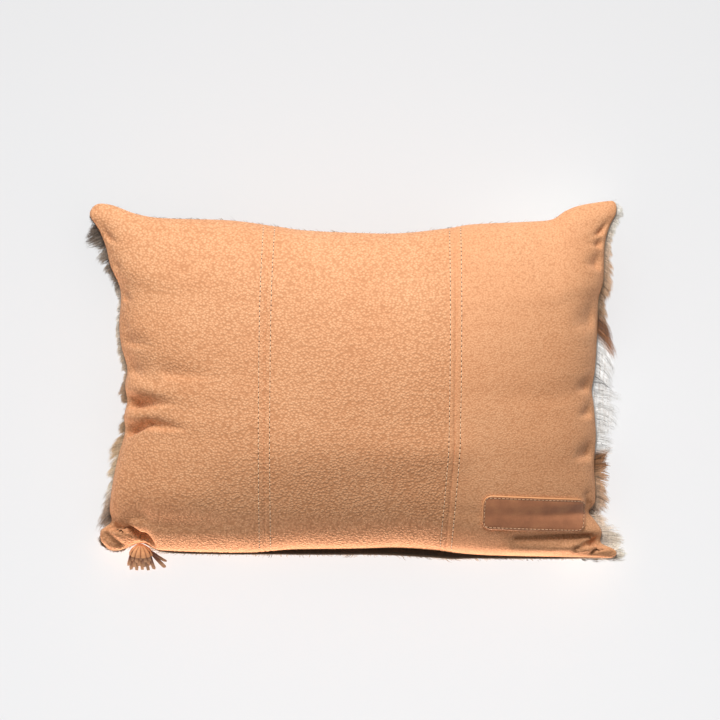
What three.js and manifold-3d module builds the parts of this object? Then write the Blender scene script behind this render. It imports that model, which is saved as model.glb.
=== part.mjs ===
// A filled lumbar cushion cover, lying face up: a leather face sewn from three panels, a springbok hide
// back with its hair on, a stitched leather patch, and a rolled leather tassel on the closing edge.
// Sizes are in millimetres. +X runs along the cover, +Y to its top edge, and +Z out of the leather face.
import * as THREE from "three";
import { mergeGeometries, mergeVertices } from "three/addons/utils/BufferGeometryUtils.js";
import Module from "manifold-3d";

const wasm = await Module();
wasm.setup();

// Driving sizes of the filled cover
const HALF_WIDTH = 294; // centre line to the tip of a side corner
const HALF_HEIGHT = 195; // centre line to the top or bottom edge at a corner
const SEAM_HEIGHT = 62; // the sewn edge above the surface, halfway along a side
const FACE_CROWN = 80; // the leather face above the sewn edge, at the middle
const BACK_DEPTH = 92; // the hide back below the sewn edge, before the surface flattens it
const EDGE_THICKNESS = 2.4; // two turned layers of leather at the sewn edge
const PIECE_GAP = 0.3; // between pieces that touch
const HIDE_THICKNESS = 9; // skin and pressed hair under the filling

// How full the cover is: the crown across it is (1 - |p|^round)^steep, times the same up it
const FACE_FILL = { roundAcross: 3.0, roundUp: 2.4, steep: 0.6 };
const BACK_FILL = { roundAcross: 3.0, roundUp: 2.3, steep: 0.5 };
const INNER_FILL = { roundAcross: 3.0, roundUp: 2.3, steep: 0.8 };

// Sewn edge at the two ends: how far up the cover, and how far out the edge is there
const LEFT_EDGE = [
  { up: -195, out: -280 },
  { up: -174, out: -282 },
  { up: -163, out: -270 },
  { up: -148, out: -271.5 },
  { up: -117, out: -267.5 },
  { up: -85, out: -260.5 },
  { up: -60, out: -253.5 },
  { up: -42, out: -254.5 },
  { up: -26, out: -251 },
  { up: -8, out: -253.5 },
  { up: 12, out: -251 },
  { up: 38, out: -257.5 },
  { up: 60, out: -260 },
  { up: 103, out: -259 },
  { up: 127, out: -270 },
  { up: 147, out: -275 },
  { up: 166, out: -283 },
  { up: 181, out: -293 },
  { up: 195, out: -294 },
];
const RIGHT_EDGE = [
  { up: -195, out: 294 },
  { up: -187, out: 290 },
  { up: -180, out: 275 },
  { up: -166, out: 275 },
  { up: -154, out: 267 },
  { up: -145, out: 260.5 },
  { up: -133, out: 267.5 },
  { up: -92, out: 266 },
  { up: -60, out: 268 },
  { up: -26, out: 265.5 },
  { up: -10, out: 263.5 },
  { up: 12, out: 267 },
  { up: 54, out: 269.5 },
  { up: 90, out: 271 },
  { up: 107, out: 276 },
  { up: 150, out: 278.5 },
  { up: 169, out: 284 },
  { up: 182, out: 291 },
  { up: 195, out: 291 },
];

// Sewn edge along the top and bottom: how far across the cover, and how high each edge is there
const TOP_EDGE = [
  { across: -294, up: 196.5 },
  { across: -270, up: 193.5 },
  { across: -244, up: 184 },
  { across: -217, up: 179 },
  { across: -137, up: 176 },
  { across: -84, up: 169 },
  { across: -56, up: 165 },
  { across: 0, up: 162.3 },
  { across: 50, up: 161.7 },
  { across: 102, up: 167 },
  { across: 130, up: 171.5 },
  { across: 195, up: 174.8 },
  { across: 221, up: 177.5 },
  { across: 235, up: 186.5 },
  { across: 250, up: 192.5 },
  { across: 275, up: 197 },
  { across: 294, up: 199 },
];
const BOTTOM_EDGE = [
  { across: -294, up: -190 },
  { across: -262, up: -190 },
  { across: -247, up: -184 },
  { across: -238, up: -181.5 },
  { across: -231, up: -182 },
  { across: -222, up: -188 },
  { across: -211, up: -190 },
  { across: -164, up: -191.5 },
  { across: -111, up: -191.5 },
  { across: -71, up: -188.5 },
  { across: 0, up: -187.5 },
  { across: 49, up: -186.5 },
  { across: 89, up: -189 },
  { across: 115, up: -192.5 },
  { across: 155, up: -195 },
  { across: 235, up: -197 },
  { across: 294, up: -198.5 },
];

// How far apart the rows of the leather face are: close together at the edges and where it is creased
const ROW_STEPS = [
  { up: -195, step: 3 },
  { up: -185, step: 4.4 },
  { up: -150, step: 5 },
  { up: -125, step: 8 },
  { up: -85, step: 8 },
  { up: -70, step: 4.6 },
  { up: -18, step: 4.6 },
  { up: 0, step: 9 },
  { up: 70, step: 13 },
  { up: 150, step: 9 },
  { up: 178, step: 5 },
  { up: 195, step: 3 },
];

// The two seams that join the three leather panels
const LEFT_SEAM = [
  { up: -195, across: -98.5 },
  { up: 66, across: -97.3 },
  { up: 195, across: -93 },
];
const RIGHT_SEAM = [
  { up: -195, across: 101 },
  { up: -173, across: 102.5 },
  { up: -122, across: 106.6 },
  { up: -67, across: 110 },
  { up: 66, across: 112 },
  { up: 195, across: 112 },
];

// Corners: how round the tip is, and how far the empty corner droops below the sides
const CORNERS = [
  { side: -1, end: -1, radius: 12, droop: 32 },
  { side: 1, end: -1, radius: 9, droop: 22 },
  { side: -1, end: 1, radius: 15, droop: 14 },
  { side: 1, end: 1, radius: 8, droop: 12 },
];

// Creases (depth over 0) and rolls (depth under 0) of the leather: a line, its half width, and its depth at
// the start and at the end of the line
const FOLDS = [
  // two deep creases in the left side, with the rolls beside them
  { from: [-256, -24], to: [-186, -27], spread: 6.5, depth: 9, end: 0 },
  { from: [-258, -62], to: [-229, -48], spread: 6.5, depth: 9, end: 6 },
  { from: [-229, -48], to: [-165, -55], spread: 8, depth: 6, end: 0 },
  { from: [-250, -8], to: [-195, -10], spread: 12, depth: -4, end: 0 },
  { from: [-250, -42], to: [-205, -38], spread: 8, depth: -3, end: 0 },
  { from: [-245, -74], to: [-190, -72], spread: 14, depth: -3, end: 0 },
  // shallow troughs above them
  { from: [-246, 17], to: [-226, 8], spread: 7, depth: 4, end: 0 },
  { from: [-240, 44], to: [-205, 35], spread: 9, depth: 2.5, end: 0 },
  // puckers below the top left corner
  { from: [-276, 164], to: [-256, 158], spread: 6, depth: 5, end: 0 },
  { from: [-269, 132], to: [-250, 124], spread: 6, depth: 4, end: 0 },
  { from: [-258, 112], to: [-240, 100], spread: 5.5, depth: 3.5, end: 0 },
  { from: [-256, 92], to: [-236, 84], spread: 6, depth: 3, end: 0 },
  // the folded bottom left corner: a deep crease over the flap, and a dent in the flap
  { from: [-272, -162], to: [-252, -164], spread: 6, depth: 9, end: 11 },
  { from: [-252, -164], to: [-226, -177], spread: 6.5, depth: 11, end: 9 },
  { from: [-226, -177], to: [-212, -190], spread: 6, depth: 9, end: 2 },
  { from: [-272, -176], to: [-260, -188], spread: 4.5, depth: 5, end: 3 },
  { from: [-262, -150], to: [-214, -168], spread: 11, depth: -5, end: -3 },
  // the roll of leather under the patch, and the crease between them
  { from: [190, -173], to: [262, -174], spread: 4.5, depth: 1, end: 6 },
  { from: [175, -184], to: [262, -184], spread: 8, depth: -3, end: -4 },
  // the crease over the bottom right corner, and the two on its flap
  { from: [278, -180], to: [242, -189], spread: 4.5, depth: 8, end: 1 },
  { from: [283, -183], to: [273, -193], spread: 3.5, depth: 4, end: 2 },
  { from: [291, -189], to: [284, -196], spread: 3, depth: 2, end: 1 },
  // the pinch in the right side, beside the patch, and the dents above it
  { from: [264, -145], to: [253, -143], spread: 6, depth: 7, end: 0 },
  { from: [263, -122], to: [238, -126], spread: 5, depth: 3.5, end: 1 },
  { from: [265, -96], to: [250, -90], spread: 8, depth: 3.5, end: 0 },
  { from: [250, -74], to: [236, -70], spread: 8, depth: 1.5, end: 0 },
  // puckers below the top right corner
  { from: [286, 179], to: [278, 176], spread: 5, depth: 4, end: 0 },
  { from: [280, 166], to: [266, 161], spread: 5, depth: 4.5, end: 0 },
  { from: [278, 147], to: [262, 158], spread: 5.5, depth: 4.5, end: 1 },
  { from: [226, 186], to: [220, 160], spread: 9, depth: 3, end: 0 },
];

const DISH = { band: 0.96, sheet: 0.9 }; // two rings inside the hide, as shares of the sewn edge
const DEEPEST_FOLD = 0.6; // share of the filling under it that a crease may take

// How far the hair stands out past the sewn edge, by the place round the cover
const HAIR_REACH = { top: 1.6, bottom: 2.2, left: 5, right: 8 };

// Hair locks at the two ends and the corners: where along the side, how long, and how far they lean down
const LEFT_LOCKS = [
  { up: 184, long: 7, lean: 0.1 },
  { up: 160, long: 15, lean: 0.0 },
  { up: 120, long: 12, lean: 0.5 },
  { up: 60, long: 6, lean: 0.6 },
  { up: 0, long: 8, lean: 0.4 },
  { up: -60, long: 13, lean: 0.5 },
  { up: -95, long: 10, lean: 1.0 },
  { up: -140, long: 20, lean: 1.2 },
  { up: -180, long: 10, lean: 0.6 },
];
const RIGHT_LOCKS = [
  { up: 188, long: 11, lean: -0.1 },
  { up: 160, long: 6, lean: 1.0 },
  { up: 110, long: 9, lean: 1.2 },
  { up: 50, long: 14, lean: 0.8 },
  { up: -15, long: 22, lean: 0.0 },
  { up: -60, long: 12, lean: 0.3 },
  { up: -120, long: 9, lean: 1.0 },
  { up: -165, long: 10, lean: 0.6 },
  { up: -190, long: 14, lean: -0.3 },
];
const LOCK = {
  spacing: 6.2,
  width: 5.8,
  thickness: 3.2,
  sunk: 3.2,
  inside: 0.99, // place of the root, as a share of the half width
  drop: 5.5,
  layer: 2.6, // further drop of every other lock
  shallowest: 3.6, // least drop, at the corners where the hide is thin
};

// Leather patch sewn near the bottom right corner
const PATCH = {
  centre: [198.5, -148],
  turn: -0.049,
  width: 115.5,
  height: 37.5,
  corner: 8,
  thickness: 2,
  gap: 0.8,
  step: 5,
  above: 500, // a height from which the face under it is found
};

// Tassel on the closing edge: its place, its lean away from the cover, and its rolled head
const TASSEL = {
  top: [-236.5, -187, 39],
  axis: new THREE.Vector3(-0.02, -0.62, -0.78).normalize(),
  floor: 0.5,
};
const TASSEL_HEAD = [
  { along: 0, radius: 2.4 },
  { along: 2.5, radius: 3.4 },
  { along: 5, radius: 7.4 },
  { along: 8.5, radius: 10.2 },
  { along: 13, radius: 11.8 },
  { along: 18, radius: 12.6 },
  { along: 21, radius: 12.8 },
];
const STRAND = { width: 3.3, thickness: 1.5, sunk: 3, steps: 5 };
const STRAND_RINGS = [
  { strands: 14, radius: 11.2, splay: 0.4, long: 24 },
  { strands: 8, radius: 7, splay: 0.25, long: 25 },
  { strands: 3, radius: 2.6, splay: 0.1, long: 26 },
];

const clamp01 = (x) => Math.min(1, Math.max(0, x));
const ease = (x) => clamp01(x) ** 2 * (3 - 2 * clamp01(x));

// A smooth curve through the rows of a table: cubic pieces whose slope at a row is that of its neighbours.
function curveThrough(rows, key, value) {
  const slope = (i) => {
    const a = rows[Math.max(0, i - 1)];
    const b = rows[Math.min(rows.length - 1, i + 1)];
    return (b[value] - a[value]) / (b[key] - a[key]);
  };
  return (at) => {
    const last = rows.length - 2;
    const found = rows.findIndex((row, i) => i > 0 && at <= row[key]) - 1;
    const i = at <= rows[0][key] ? 0 : found < 0 ? last : found;
    const span = rows[i + 1][key] - rows[i][key];
    const h = clamp01((at - rows[i][key]) / span);
    const rise = ease(h);
    const leave = h * (1 - h) ** 2 * span * slope(i);
    const arrive = h ** 2 * (1 - h) * span * slope(i + 1);
    return rows[i][value] * (1 - rise) + rows[i + 1][value] * rise + leave - arrive;
  };
}

const leftEdge = curveThrough(LEFT_EDGE, "up", "out");
const rightEdge = curveThrough(RIGHT_EDGE, "up", "out");
const topEdge = curveThrough(TOP_EDGE, "across", "up");
const bottomEdge = curveThrough(BOTTOM_EDGE, "across", "up");
const leftSeam = curveThrough(LEFT_SEAM, "up", "across");
const rightSeam = curveThrough(RIGHT_SEAM, "up", "across");
const { lerp } = THREE.MathUtils;

// Shares of a length from 0 to 1, close together at the ends and wider in the middle.
function spacedShares(length, firstStep, middleStep, lastStep) {
  const growth = 1.35;
  const at = [0];
  const fromEnd = [0];
  let left = firstStep;
  let right = lastStep;
  while (left < middleStep || right < middleStep) {
    if (left < middleStep) {
      at.push(at.at(-1) + left);
      left *= growth;
    }
    if (right < middleStep) {
      fromEnd.push(fromEnd.at(-1) + right);
      right *= growth;
    }
  }
  const middle = length - at.at(-1) - fromEnd.at(-1);
  const steps = Math.max(1, Math.round(middle / middleStep));
  for (let i = 1; i < steps; i++) at.push(at.at(-1) + middle / steps);
  return [...at, ...fromEnd.map((x) => length - x).reverse()].map((x) => x / length);
}

// Rows from the bottom edge (-1) to the top edge (1), as far apart as the table of steps says.
function rowsBySteps(table) {
  const stepAt = curveThrough(table, "up", "step");
  const ups = [-HALF_HEIGHT];
  while (ups.at(-1) < HALF_HEIGHT) ups.push(ups.at(-1) + stepAt(ups.at(-1)));
  const stretch = (2 * HALF_HEIGHT) / (ups.at(-1) + HALF_HEIGHT);
  return ups.map((up) => ((up + HALF_HEIGHT) * stretch) / HALF_HEIGHT - 1);
}

// Height of the sewn edge, by the place p across (-1 to 1) and q up (-1 to 1): it droops at the corners.
function seamHeight(p, q) {
  const droop = CORNERS.map(({ side, end, droop }) => {
    const near = Math.max(0, side * p) * Math.max(0, end * q);
    return droop * near ** 2.5;
  });
  return SEAM_HEIGHT - droop.reduce((sum, d) => sum + d, 0);
}

const NO_REACH = { left: 0, right: 0, top: 0, bottom: 0 };

// Turns a square corner of the plan into a round one: the last radius of the square becomes a quarter disc.
function roundCorner(x, y, reach) {
  for (const { side, end, radius } of CORNERS) {
    const [reachX, reachY] = [side < 0 ? reach.left : reach.right, end < 0 ? reach.bottom : reach.top];
    const tipX = (side < 0 ? leftEdge : rightEdge)(end * HALF_HEIGHT) + side * reachX;
    const tipY = (end < 0 ? bottomEdge : topEdge)(side * HALF_WIDTH) + end * reachY;
    const size = radius + reachX;
    const a = (side * (x - tipX)) / size + 1;
    const b = (end * (y - tipY)) / size + 1;
    if (a <= 0 || b <= 0) continue;
    const [inA, inB] = [Math.min(a, 1), Math.min(b, 1)];
    x += side * size * (inA * Math.sqrt(1 - inB ** 2 / 2) - inA);
    y += end * size * (inB * Math.sqrt(1 - inA ** 2 / 2) - inB);
  }
  return [x, y];
}

// Plan position of the place (p, q), with the edge pushed out by the hair's reach where one is given.
function planPoint(p, q, reach = NO_REACH) {
  const up = q * HALF_HEIGHT;
  const x = lerp(leftEdge(up) - reach.left, rightEdge(up) + reach.right, (p + 1) / 2);
  const inside = THREE.MathUtils.clamp(x, -HALF_WIDTH, HALF_WIDTH);
  const y = lerp(bottomEdge(inside) - reach.bottom, topEdge(inside) + reach.top, (q + 1) / 2);
  return roundCorner(x, y, reach);
}

function fullness(p, q, { roundAcross, roundUp, steep }) {
  const across = Math.max(0, 1 - Math.abs(p) ** roundAcross);
  const up = Math.max(0, 1 - Math.abs(q) ** roundUp);
  return (across * up) ** steep;
}

// The face before it is creased: crown, a soft unevenness from the filling, and a valley along each seam.
function plainFace(p, q) {
  const [x, y] = planPoint(p, q);
  const fill = fullness(p, q, FACE_FILL);
  const uneven = Math.sin(x / 41 + y / 67 + 0.6) + Math.sin(y / 35 - x / 88 + 2.1);
  const valley = [leftSeam(y), rightSeam(y)].map((at) => {
    const off = Math.abs(x - at);
    return 2.2 * Math.exp(-((off / 26) ** 2)) + 0.9 * Math.exp(-((off / 2.2) ** 2));
  });
  const height = FACE_CROWN * fill + (1.1 * uneven - valley[0] - valley[1]) * Math.min(1, fill * 3);
  return new THREE.Vector3(x, y, seamHeight(p, q) + height);
}

// Depth of all creases at a plan position: each is a bell across its line that fades along it.
function foldDepth(x, y) {
  let depth = 0;
  for (const fold of FOLDS) {
    const [dx, dy] = [fold.to[0] - fold.from[0], fold.to[1] - fold.from[1]];
    const along = (x - fold.from[0]) * dx + (y - fold.from[1]) * dy;
    const h = clamp01(along / (dx * dx + dy * dy));
    const off = Math.hypot(x - fold.from[0] - h * dx, y - fold.from[1] - h * dy);
    depth += lerp(fold.depth, fold.end, ease(h)) * Math.exp(-((off / fold.spread) ** 2));
  }
  return depth;
}

// The finished face: the plain one pushed in along its own normal by the creases. It is left alone at its
// edge, and a crease takes no more than a share of the filling under it.
function facePoint(p, q) {
  const at = plainFace(p, q);
  const step = 0.004;
  const across = plainFace(p + (p > 0 ? -step : step), q).sub(at);
  const up = plainFace(p, q + (q > 0 ? -step : step)).sub(at);
  const normal = across.cross(up).normalize();
  if (normal.z < 0) normal.negate();
  const inland = (1 - Math.max(Math.abs(p), Math.abs(q))) * HALF_HEIGHT;
  const filling = at.z - dishPoint(p, q, PIECE_GAP).z;
  const depth = Math.min(foldDepth(at.x, at.y), DEEPEST_FOLD * filling);
  return at.addScaledVector(normal, -depth * ease(inland / 9));
}

// A closed body is gathered from its corners and triangles, then made one geometry.
class Surface {
  points = [];
  triangles = [];

  add(point) {
    this.points.push(point);
    return this.points.length - 1;
  }

  // A sheet of rows by columns of points; up says which way it faces. Returns the numbers of its corners.
  sheet(rows, columns, pointAt, up) {
    const ids = rows.map((row, j) => columns.map((column, i) => this.add(pointAt(row, column, j, i))));
    for (let j = 0; j < rows.length - 1; j++) {
      for (let i = 0; i < columns.length - 1; i++) {
        const [a, b, c, d] = [ids[j][i], ids[j][i + 1], ids[j + 1][i + 1], ids[j + 1][i]];
        const halves = (i + j) % 2 ? [[a, b, c], [a, c, d]] : [[a, b, d], [b, c, d]];
        for (const [x, y, z] of halves) this.triangles.push(up ? [x, y, z] : [x, z, y]);
      }
    }
    return ids;
  }

  // Joins two rings of points, each { id, turn } in order round the cover, with triangles between them.
  ribbon(outer, inner, up) {
    let [i, j] = [0, 0];
    const turnOf = (ring, k) => ring[k % ring.length].turn + (k >= ring.length ? 1 : 0);
    const middle = (ring, k) => turnOf(ring, k) + turnOf(ring, k + 1);
    while (i < outer.length || j < inner.length) {
      const next = (ring, k) => ring[(k + 1) % ring.length].id;
      const [a, b] = [outer[i % outer.length].id, inner[j % inner.length].id];
      const stepOut =
        j >= inner.length || (i < outer.length && middle(outer, i) <= middle(inner, j));
      const third = stepOut ? next(outer, i) : next(inner, j);
      this.triangles.push(up ? [a, third, b] : [a, b, third]);
      if (stepOut) i++;
      else j++;
    }
  }

  geometry() {
    const geometry = new THREE.BufferGeometry();
    const flat = this.points.flatMap((point) => [point.x, point.y, point.z]);
    geometry.setAttribute("position", new THREE.Float32BufferAttribute(flat, 3));
    geometry.setIndex(this.triangles.flat());
    return geometry;
  }
}

// The share of a turn round a square at which (p, q) lies, from the bottom left corner.
function turnOfPlace(p, q) {
  const size = Math.max(Math.abs(p), Math.abs(q));
  const [a, b] = [p / size, q / size];
  if (b <= -1 + 1e-9) return (a + 1) / 8;
  if (a >= 1 - 1e-9) return 0.25 + (b + 1) / 8;
  if (b >= 1 - 1e-9) return 0.5 + (1 - a) / 8;
  return 0.75 + (1 - b) / 8;
}

// The rim of a sheet as a ring in order: along the bottom, up the right, back along the top, down the left.
function rimOf(ids, placeAt) {
  const [lastRow, lastColumn] = [ids.length - 1, ids[0].length - 1];
  const ring = [];
  const take = (j, i) => ring.push({ id: ids[j][i], place: placeAt(j, i) });
  for (let i = 0; i < lastColumn; i++) take(0, i);
  for (let j = 0; j < lastRow; j++) take(j, lastColumn);
  for (let i = lastColumn; i > 0; i--) take(lastRow, i);
  for (let j = lastRow; j > 0; j--) take(j, 0);
  return ring.map((step) => ({ ...step, turn: turnOfPlace(...step.place) }));
}

// Columns of the leather face: a rail for each edge and seam, and shares of the way between two rails.
const PANELS = [
  { rail: 0, width: 163, first: 3.2, middle: 12.5, last: 2.6 },
  { rail: 1, width: 208, first: 2.6, middle: 23, last: 2.6 },
  { rail: 2, width: 162, first: 2.6, middle: 12.5, last: 3.2 },
];
const faceColumns = PANELS.flatMap(({ rail, width, first, middle, last }) => {
  const shares = spacedShares(width, first, middle, last);
  return shares.slice(rail ? 1 : 0).map((share) => ({ rail, share }));
});
const faceRows = rowsBySteps(ROW_STEPS);

// The place p across the cover of a column at the height q.
function placeAcross({ rail, share }, q) {
  const up = q * HALF_HEIGHT;
  const rails = [leftEdge(up), leftSeam(up), rightSeam(up), rightEdge(up)];
  const x = lerp(rails[rail], rails[rail + 1], share);
  return (2 * (x - rails[0])) / (rails[3] - rails[0]) - 1;
}

const facePlaces = faceRows.map((q) => faceColumns.map((column) => [placeAcross(column, q), q]));
const faceRimPlaces = rimOf(facePlaces.map((row) => row.map(() => 0)), (j, i) => facePlaces[j][i]);

// The hair takes every second row and column of the face, the inside of the hide every fourth.
const everyNth = (list, n) => list.filter((_, i) => i % n === 0 || i === list.length - 1);
const hairPlaces = everyNth(facePlaces, 2).map((row) => everyNth(row, 2));
const inward = ([p, q], size) => [size * p, size * q];
const dishPlaces = everyNth(facePlaces, 4).map((row) =>
  everyNth(row, 4).map((place) => inward(place, DISH.sheet)),
);

// The inside of the hide, where the filling rests on it: a dish with a level bottom.
function dishPoint(p, q, lift) {
  const [x, y] = planPoint(p, q);
  const rim = seamHeight(p, q) - EDGE_THICKNESS - PIECE_GAP;
  const sunk = rim - (BACK_DEPTH - HIDE_THICKNESS) * fullness(p, q, INNER_FILL);
  return new THREE.Vector3(x, y, Math.max(HIDE_THICKNESS, sunk) + lift);
}

// The rim of the leather face, lowered by the thickness of the sewn edge and a further drop.
function addEdgeRing(surface, drop) {
  return faceRimPlaces.map(({ place, turn }) => {
    const [x, y] = planPoint(...place);
    const z = seamHeight(...place) - EDGE_THICKNESS - drop;
    return { id: surface.add(new THREE.Vector3(x, y, z)), turn };
  });
}

// Fills the ring of the edge with the dish: first a narrow band beside the edge, then a coarser sheet.
function addDish(surface, edge, lift, up) {
  const band = faceRimPlaces.map(({ place, turn }) => {
    return { id: surface.add(dishPoint(...inward(place, DISH.band), lift)), turn };
  });
  const pointAt = (_, __, j, i) => dishPoint(...dishPlaces[j][i], lift);
  const ids = surface.sheet(dishPlaces, dishPlaces[0], pointAt, up);
  surface.ribbon(edge, band, up);
  surface.ribbon(band, rimOf(ids, (j, i) => dishPlaces[j][i]), up);
}

// The filled cover: the leather face above, the sewn edge, and the underside that lies in the hide.
function filledCover() {
  const surface = new Surface();
  const face = surface.sheet(
    faceRows,
    faceColumns,
    (q, column, j, i) => facePoint(...facePlaces[j][i]),
    true,
  );
  const edgeTop = rimOf(face, (j, i) => facePlaces[j][i]);
  const edgeBottom = addEdgeRing(surface, 0);
  surface.ribbon(edgeBottom, edgeTop, true);
  addDish(surface, edgeBottom, PIECE_GAP, false);
  return surface.geometry();
}

// Unevenness of the hair, from waves that cross at odd angles.
function hairLumps(x, y) {
  const coarse = Math.sin(x / 13 + y / 31) * Math.sin(y / 15 - x / 37 + 1);
  const fine = Math.sin(x / 6.3 - y / 9.1 + 2) * Math.sin(y / 7.2 + x / 11);
  return 1.5 * coarse + 0.8 * fine;
}

// The outside of the hair: it bulges from the sewn edge and is pressed level where it lies on the surface.
function hairPoint(p, q) {
  const [x, y] = planPoint(p, q, HAIR_REACH);
  const rim = seamHeight(p, q) - EDGE_THICKNESS - 1.6;
  const z = rim - BACK_DEPTH * fullness(p, q, BACK_FILL);
  const open = ease(z / 16) * ease((1 - Math.max(Math.abs(p), Math.abs(q))) * 22);
  const lump = hairLumps(x, y) * open;
  return new THREE.Vector3(x + Math.sign(p) * lump * 0.5, y + Math.sign(q) * lump * 0.5, Math.max(0, z + lump));
}

function solidOf(geometry) {
  for (const name of Object.keys(geometry.attributes)) {
    if (name !== "position") geometry.deleteAttribute(name);
  }
  const merged = mergeVertices(geometry, 1e-4);
  return new wasm.Manifold(
    new wasm.Mesh({
      numProp: 3,
      vertProperties: merged.attributes.position.array,
      triVerts: new Uint32Array(merged.index.array),
    }),
  );
}

function geometryOf(solid) {
  const { vertProperties, triVerts } = solid.getMesh();
  const geometry = new THREE.BufferGeometry();
  geometry.setAttribute("position", new THREE.Float32BufferAttribute(vertProperties, 3));
  geometry.setIndex([...triVerts]);
  return geometry;
}

// One lock of hair: a flat four-sided spike whose root lies inside the hide.
function hairLock(root, outward, long, lean, turn) {
  const direction = new THREE.Vector3(outward.x, outward.y - lean, -0.12).normalize();
  const spike = new THREE.ConeGeometry(LOCK.width / 2, long + LOCK.sunk, 4, 1);
  spike.rotateY(turn);
  spike.scale(1, 1, LOCK.thickness / LOCK.width);
  spike.translate(0, (long + LOCK.sunk) / 2 - LOCK.sunk, 0);
  const turnTo = new THREE.Quaternion().setFromUnitVectors(new THREE.Vector3(0, 1, 0), direction);
  return spike.applyQuaternion(turnTo).translate(root.x, root.y, root.z);
}

// Locks along one side of the hide, a step apart, with a length and lean that vary along the side.
function locksAlong(rows, side) {
  const longAt = curveThrough([...rows].reverse(), "up", "long");
  const leanAt = curveThrough([...rows].reverse(), "up", "lean");
  const count = Math.floor((2 * HALF_HEIGHT) / LOCK.spacing);
  return Array.from({ length: count }, (_, k) => {
    const q = (2 * (k + 0.5)) / count - 1;
    const up = q * HALF_HEIGHT;
    const inside = LOCK.inside * side;
    const [x, y] = planPoint(inside, q, HAIR_REACH);
    const rim = seamHeight(inside, q) - EDGE_THICKNESS;
    const under = BACK_DEPTH * fullness(inside, q, BACK_FILL);
    const deepest = Math.max(LOCK.shallowest, 1.2 + under / 2);
    const z = rim - Math.min(LOCK.drop + LOCK.layer * (k % 2), deepest);
    const vary = 0.82 + 0.3 * Math.abs(Math.sin(k * 2.4 + side));
    const outward = new THREE.Vector3(side, 0.25 * Math.sin(k * 1.7), 0);
    const root = new THREE.Vector3(x, y, z);
    return hairLock(root, outward, longAt(up) * vary, leanAt(up), (k % 3) * 0.2);
  });
}

// The springbok hide: its dish inside, the hair outside, a shoulder of hair at the rim, and the locks.
function hideBack() {
  const surface = new Surface();
  const edge = addEdgeRing(surface, PIECE_GAP);
  addDish(surface, edge, 0, true);
  const hair = surface.sheet(hairPlaces, hairPlaces[0], (_, __, j, i) => hairPoint(...hairPlaces[j][i]), false);
  surface.ribbon(rimOf(hair, (j, i) => hairPlaces[j][i]), edge, true);
  const slab = solidOf(surface.geometry());
  const locks = [...locksAlong(LEFT_LOCKS, -1), ...locksAlong(RIGHT_LOCKS, 1)];
  return geometryOf(locks.reduce((all, lock) => all.add(solidOf(lock)), slab));
}

// The patch: a thin plate with round corners that follows the face a little above it.
function leatherPatch(face) {
  const surface = new Surface();
  const ray = new THREE.Raycaster();
  const down = new THREE.Vector3(0, 0, -1);
  const shares = (length, step) => spacedShares(length, step / 3, step, step / 3);
  const [halfWide, halfHigh] = [PATCH.width / 2, PATCH.height / 2];
  const columns = shares(PATCH.width, PATCH.step).map((share) => (2 * share - 1) * halfWide);
  const rows = shares(PATCH.height, PATCH.step).map((share) => (2 * share - 1) * halfHigh);
  const placed = (b, a, lift) => {
    const inA = clamp01((Math.abs(a) - halfWide) / PATCH.corner + 1);
    const inB = clamp01((Math.abs(b) - halfHigh) / PATCH.corner + 1);
    const flatA = a + Math.sign(a) * PATCH.corner * inA * (Math.sqrt(1 - inB ** 2 / 2) - 1);
    const flatB = b + Math.sign(b) * PATCH.corner * inB * (Math.sqrt(1 - inA ** 2 / 2) - 1);
    const x = PATCH.centre[0] + flatA * Math.cos(PATCH.turn) - flatB * Math.sin(PATCH.turn);
    const y = PATCH.centre[1] + flatA * Math.sin(PATCH.turn) + flatB * Math.cos(PATCH.turn);
    ray.set(new THREE.Vector3(x, y, PATCH.above), down);
    return new THREE.Vector3(x, y, ray.intersectObject(face)[0].point.z + lift);
  };
  const top = surface.sheet(rows, columns, (b, a) => placed(b, a, PATCH.gap + PATCH.thickness), true);
  const bottom = surface.sheet(rows, columns, (b, a) => placed(b, a, PATCH.gap), false);
  const place = (j, i) => [columns[i] / halfWide, rows[j] / halfHigh];
  surface.ribbon(rimOf(bottom, place), rimOf(top, place), true);
  return surface.geometry();
}

// A strip of leather with a four-sided section, carried along its points and closed at both ends.
function leatherStrip(path, wide) {
  const surface = new Surface();
  const rings = path.map((point, k) => {
    const ahead = path[Math.min(k + 1, path.length - 1)];
    const behind = path[Math.max(k - 1, 0)];
    const along = ahead.clone().sub(behind).normalize();
    const across = wide.clone().addScaledVector(along, -wide.dot(along)).normalize();
    const thick = along.clone().cross(across);
    return [[-1, -1], [1, -1], [1, 1], [-1, 1]].map(([a, b]) =>
      surface.add(
        point
          .clone()
          .addScaledVector(across, (a * STRAND.width) / 2)
          .addScaledVector(thick, (b * STRAND.thickness) / 2),
      ),
    );
  });
  for (let k = 0; k < rings.length - 1; k++) {
    for (let side = 0; side < 4; side++) {
      const [a, b] = [rings[k][side], rings[k][(side + 1) % 4]];
      const [c, d] = [rings[k + 1][(side + 1) % 4], rings[k + 1][side]];
      surface.triangles.push([a, b, c], [a, c, d]);
    }
  }
  const [first, last] = [rings[0], rings.at(-1)];
  surface.triangles.push([first[0], first[2], first[1]], [first[0], first[3], first[2]]);
  surface.triangles.push([last[0], last[1], last[2]], [last[0], last[2], last[3]]);
  return surface.geometry();
}

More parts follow.
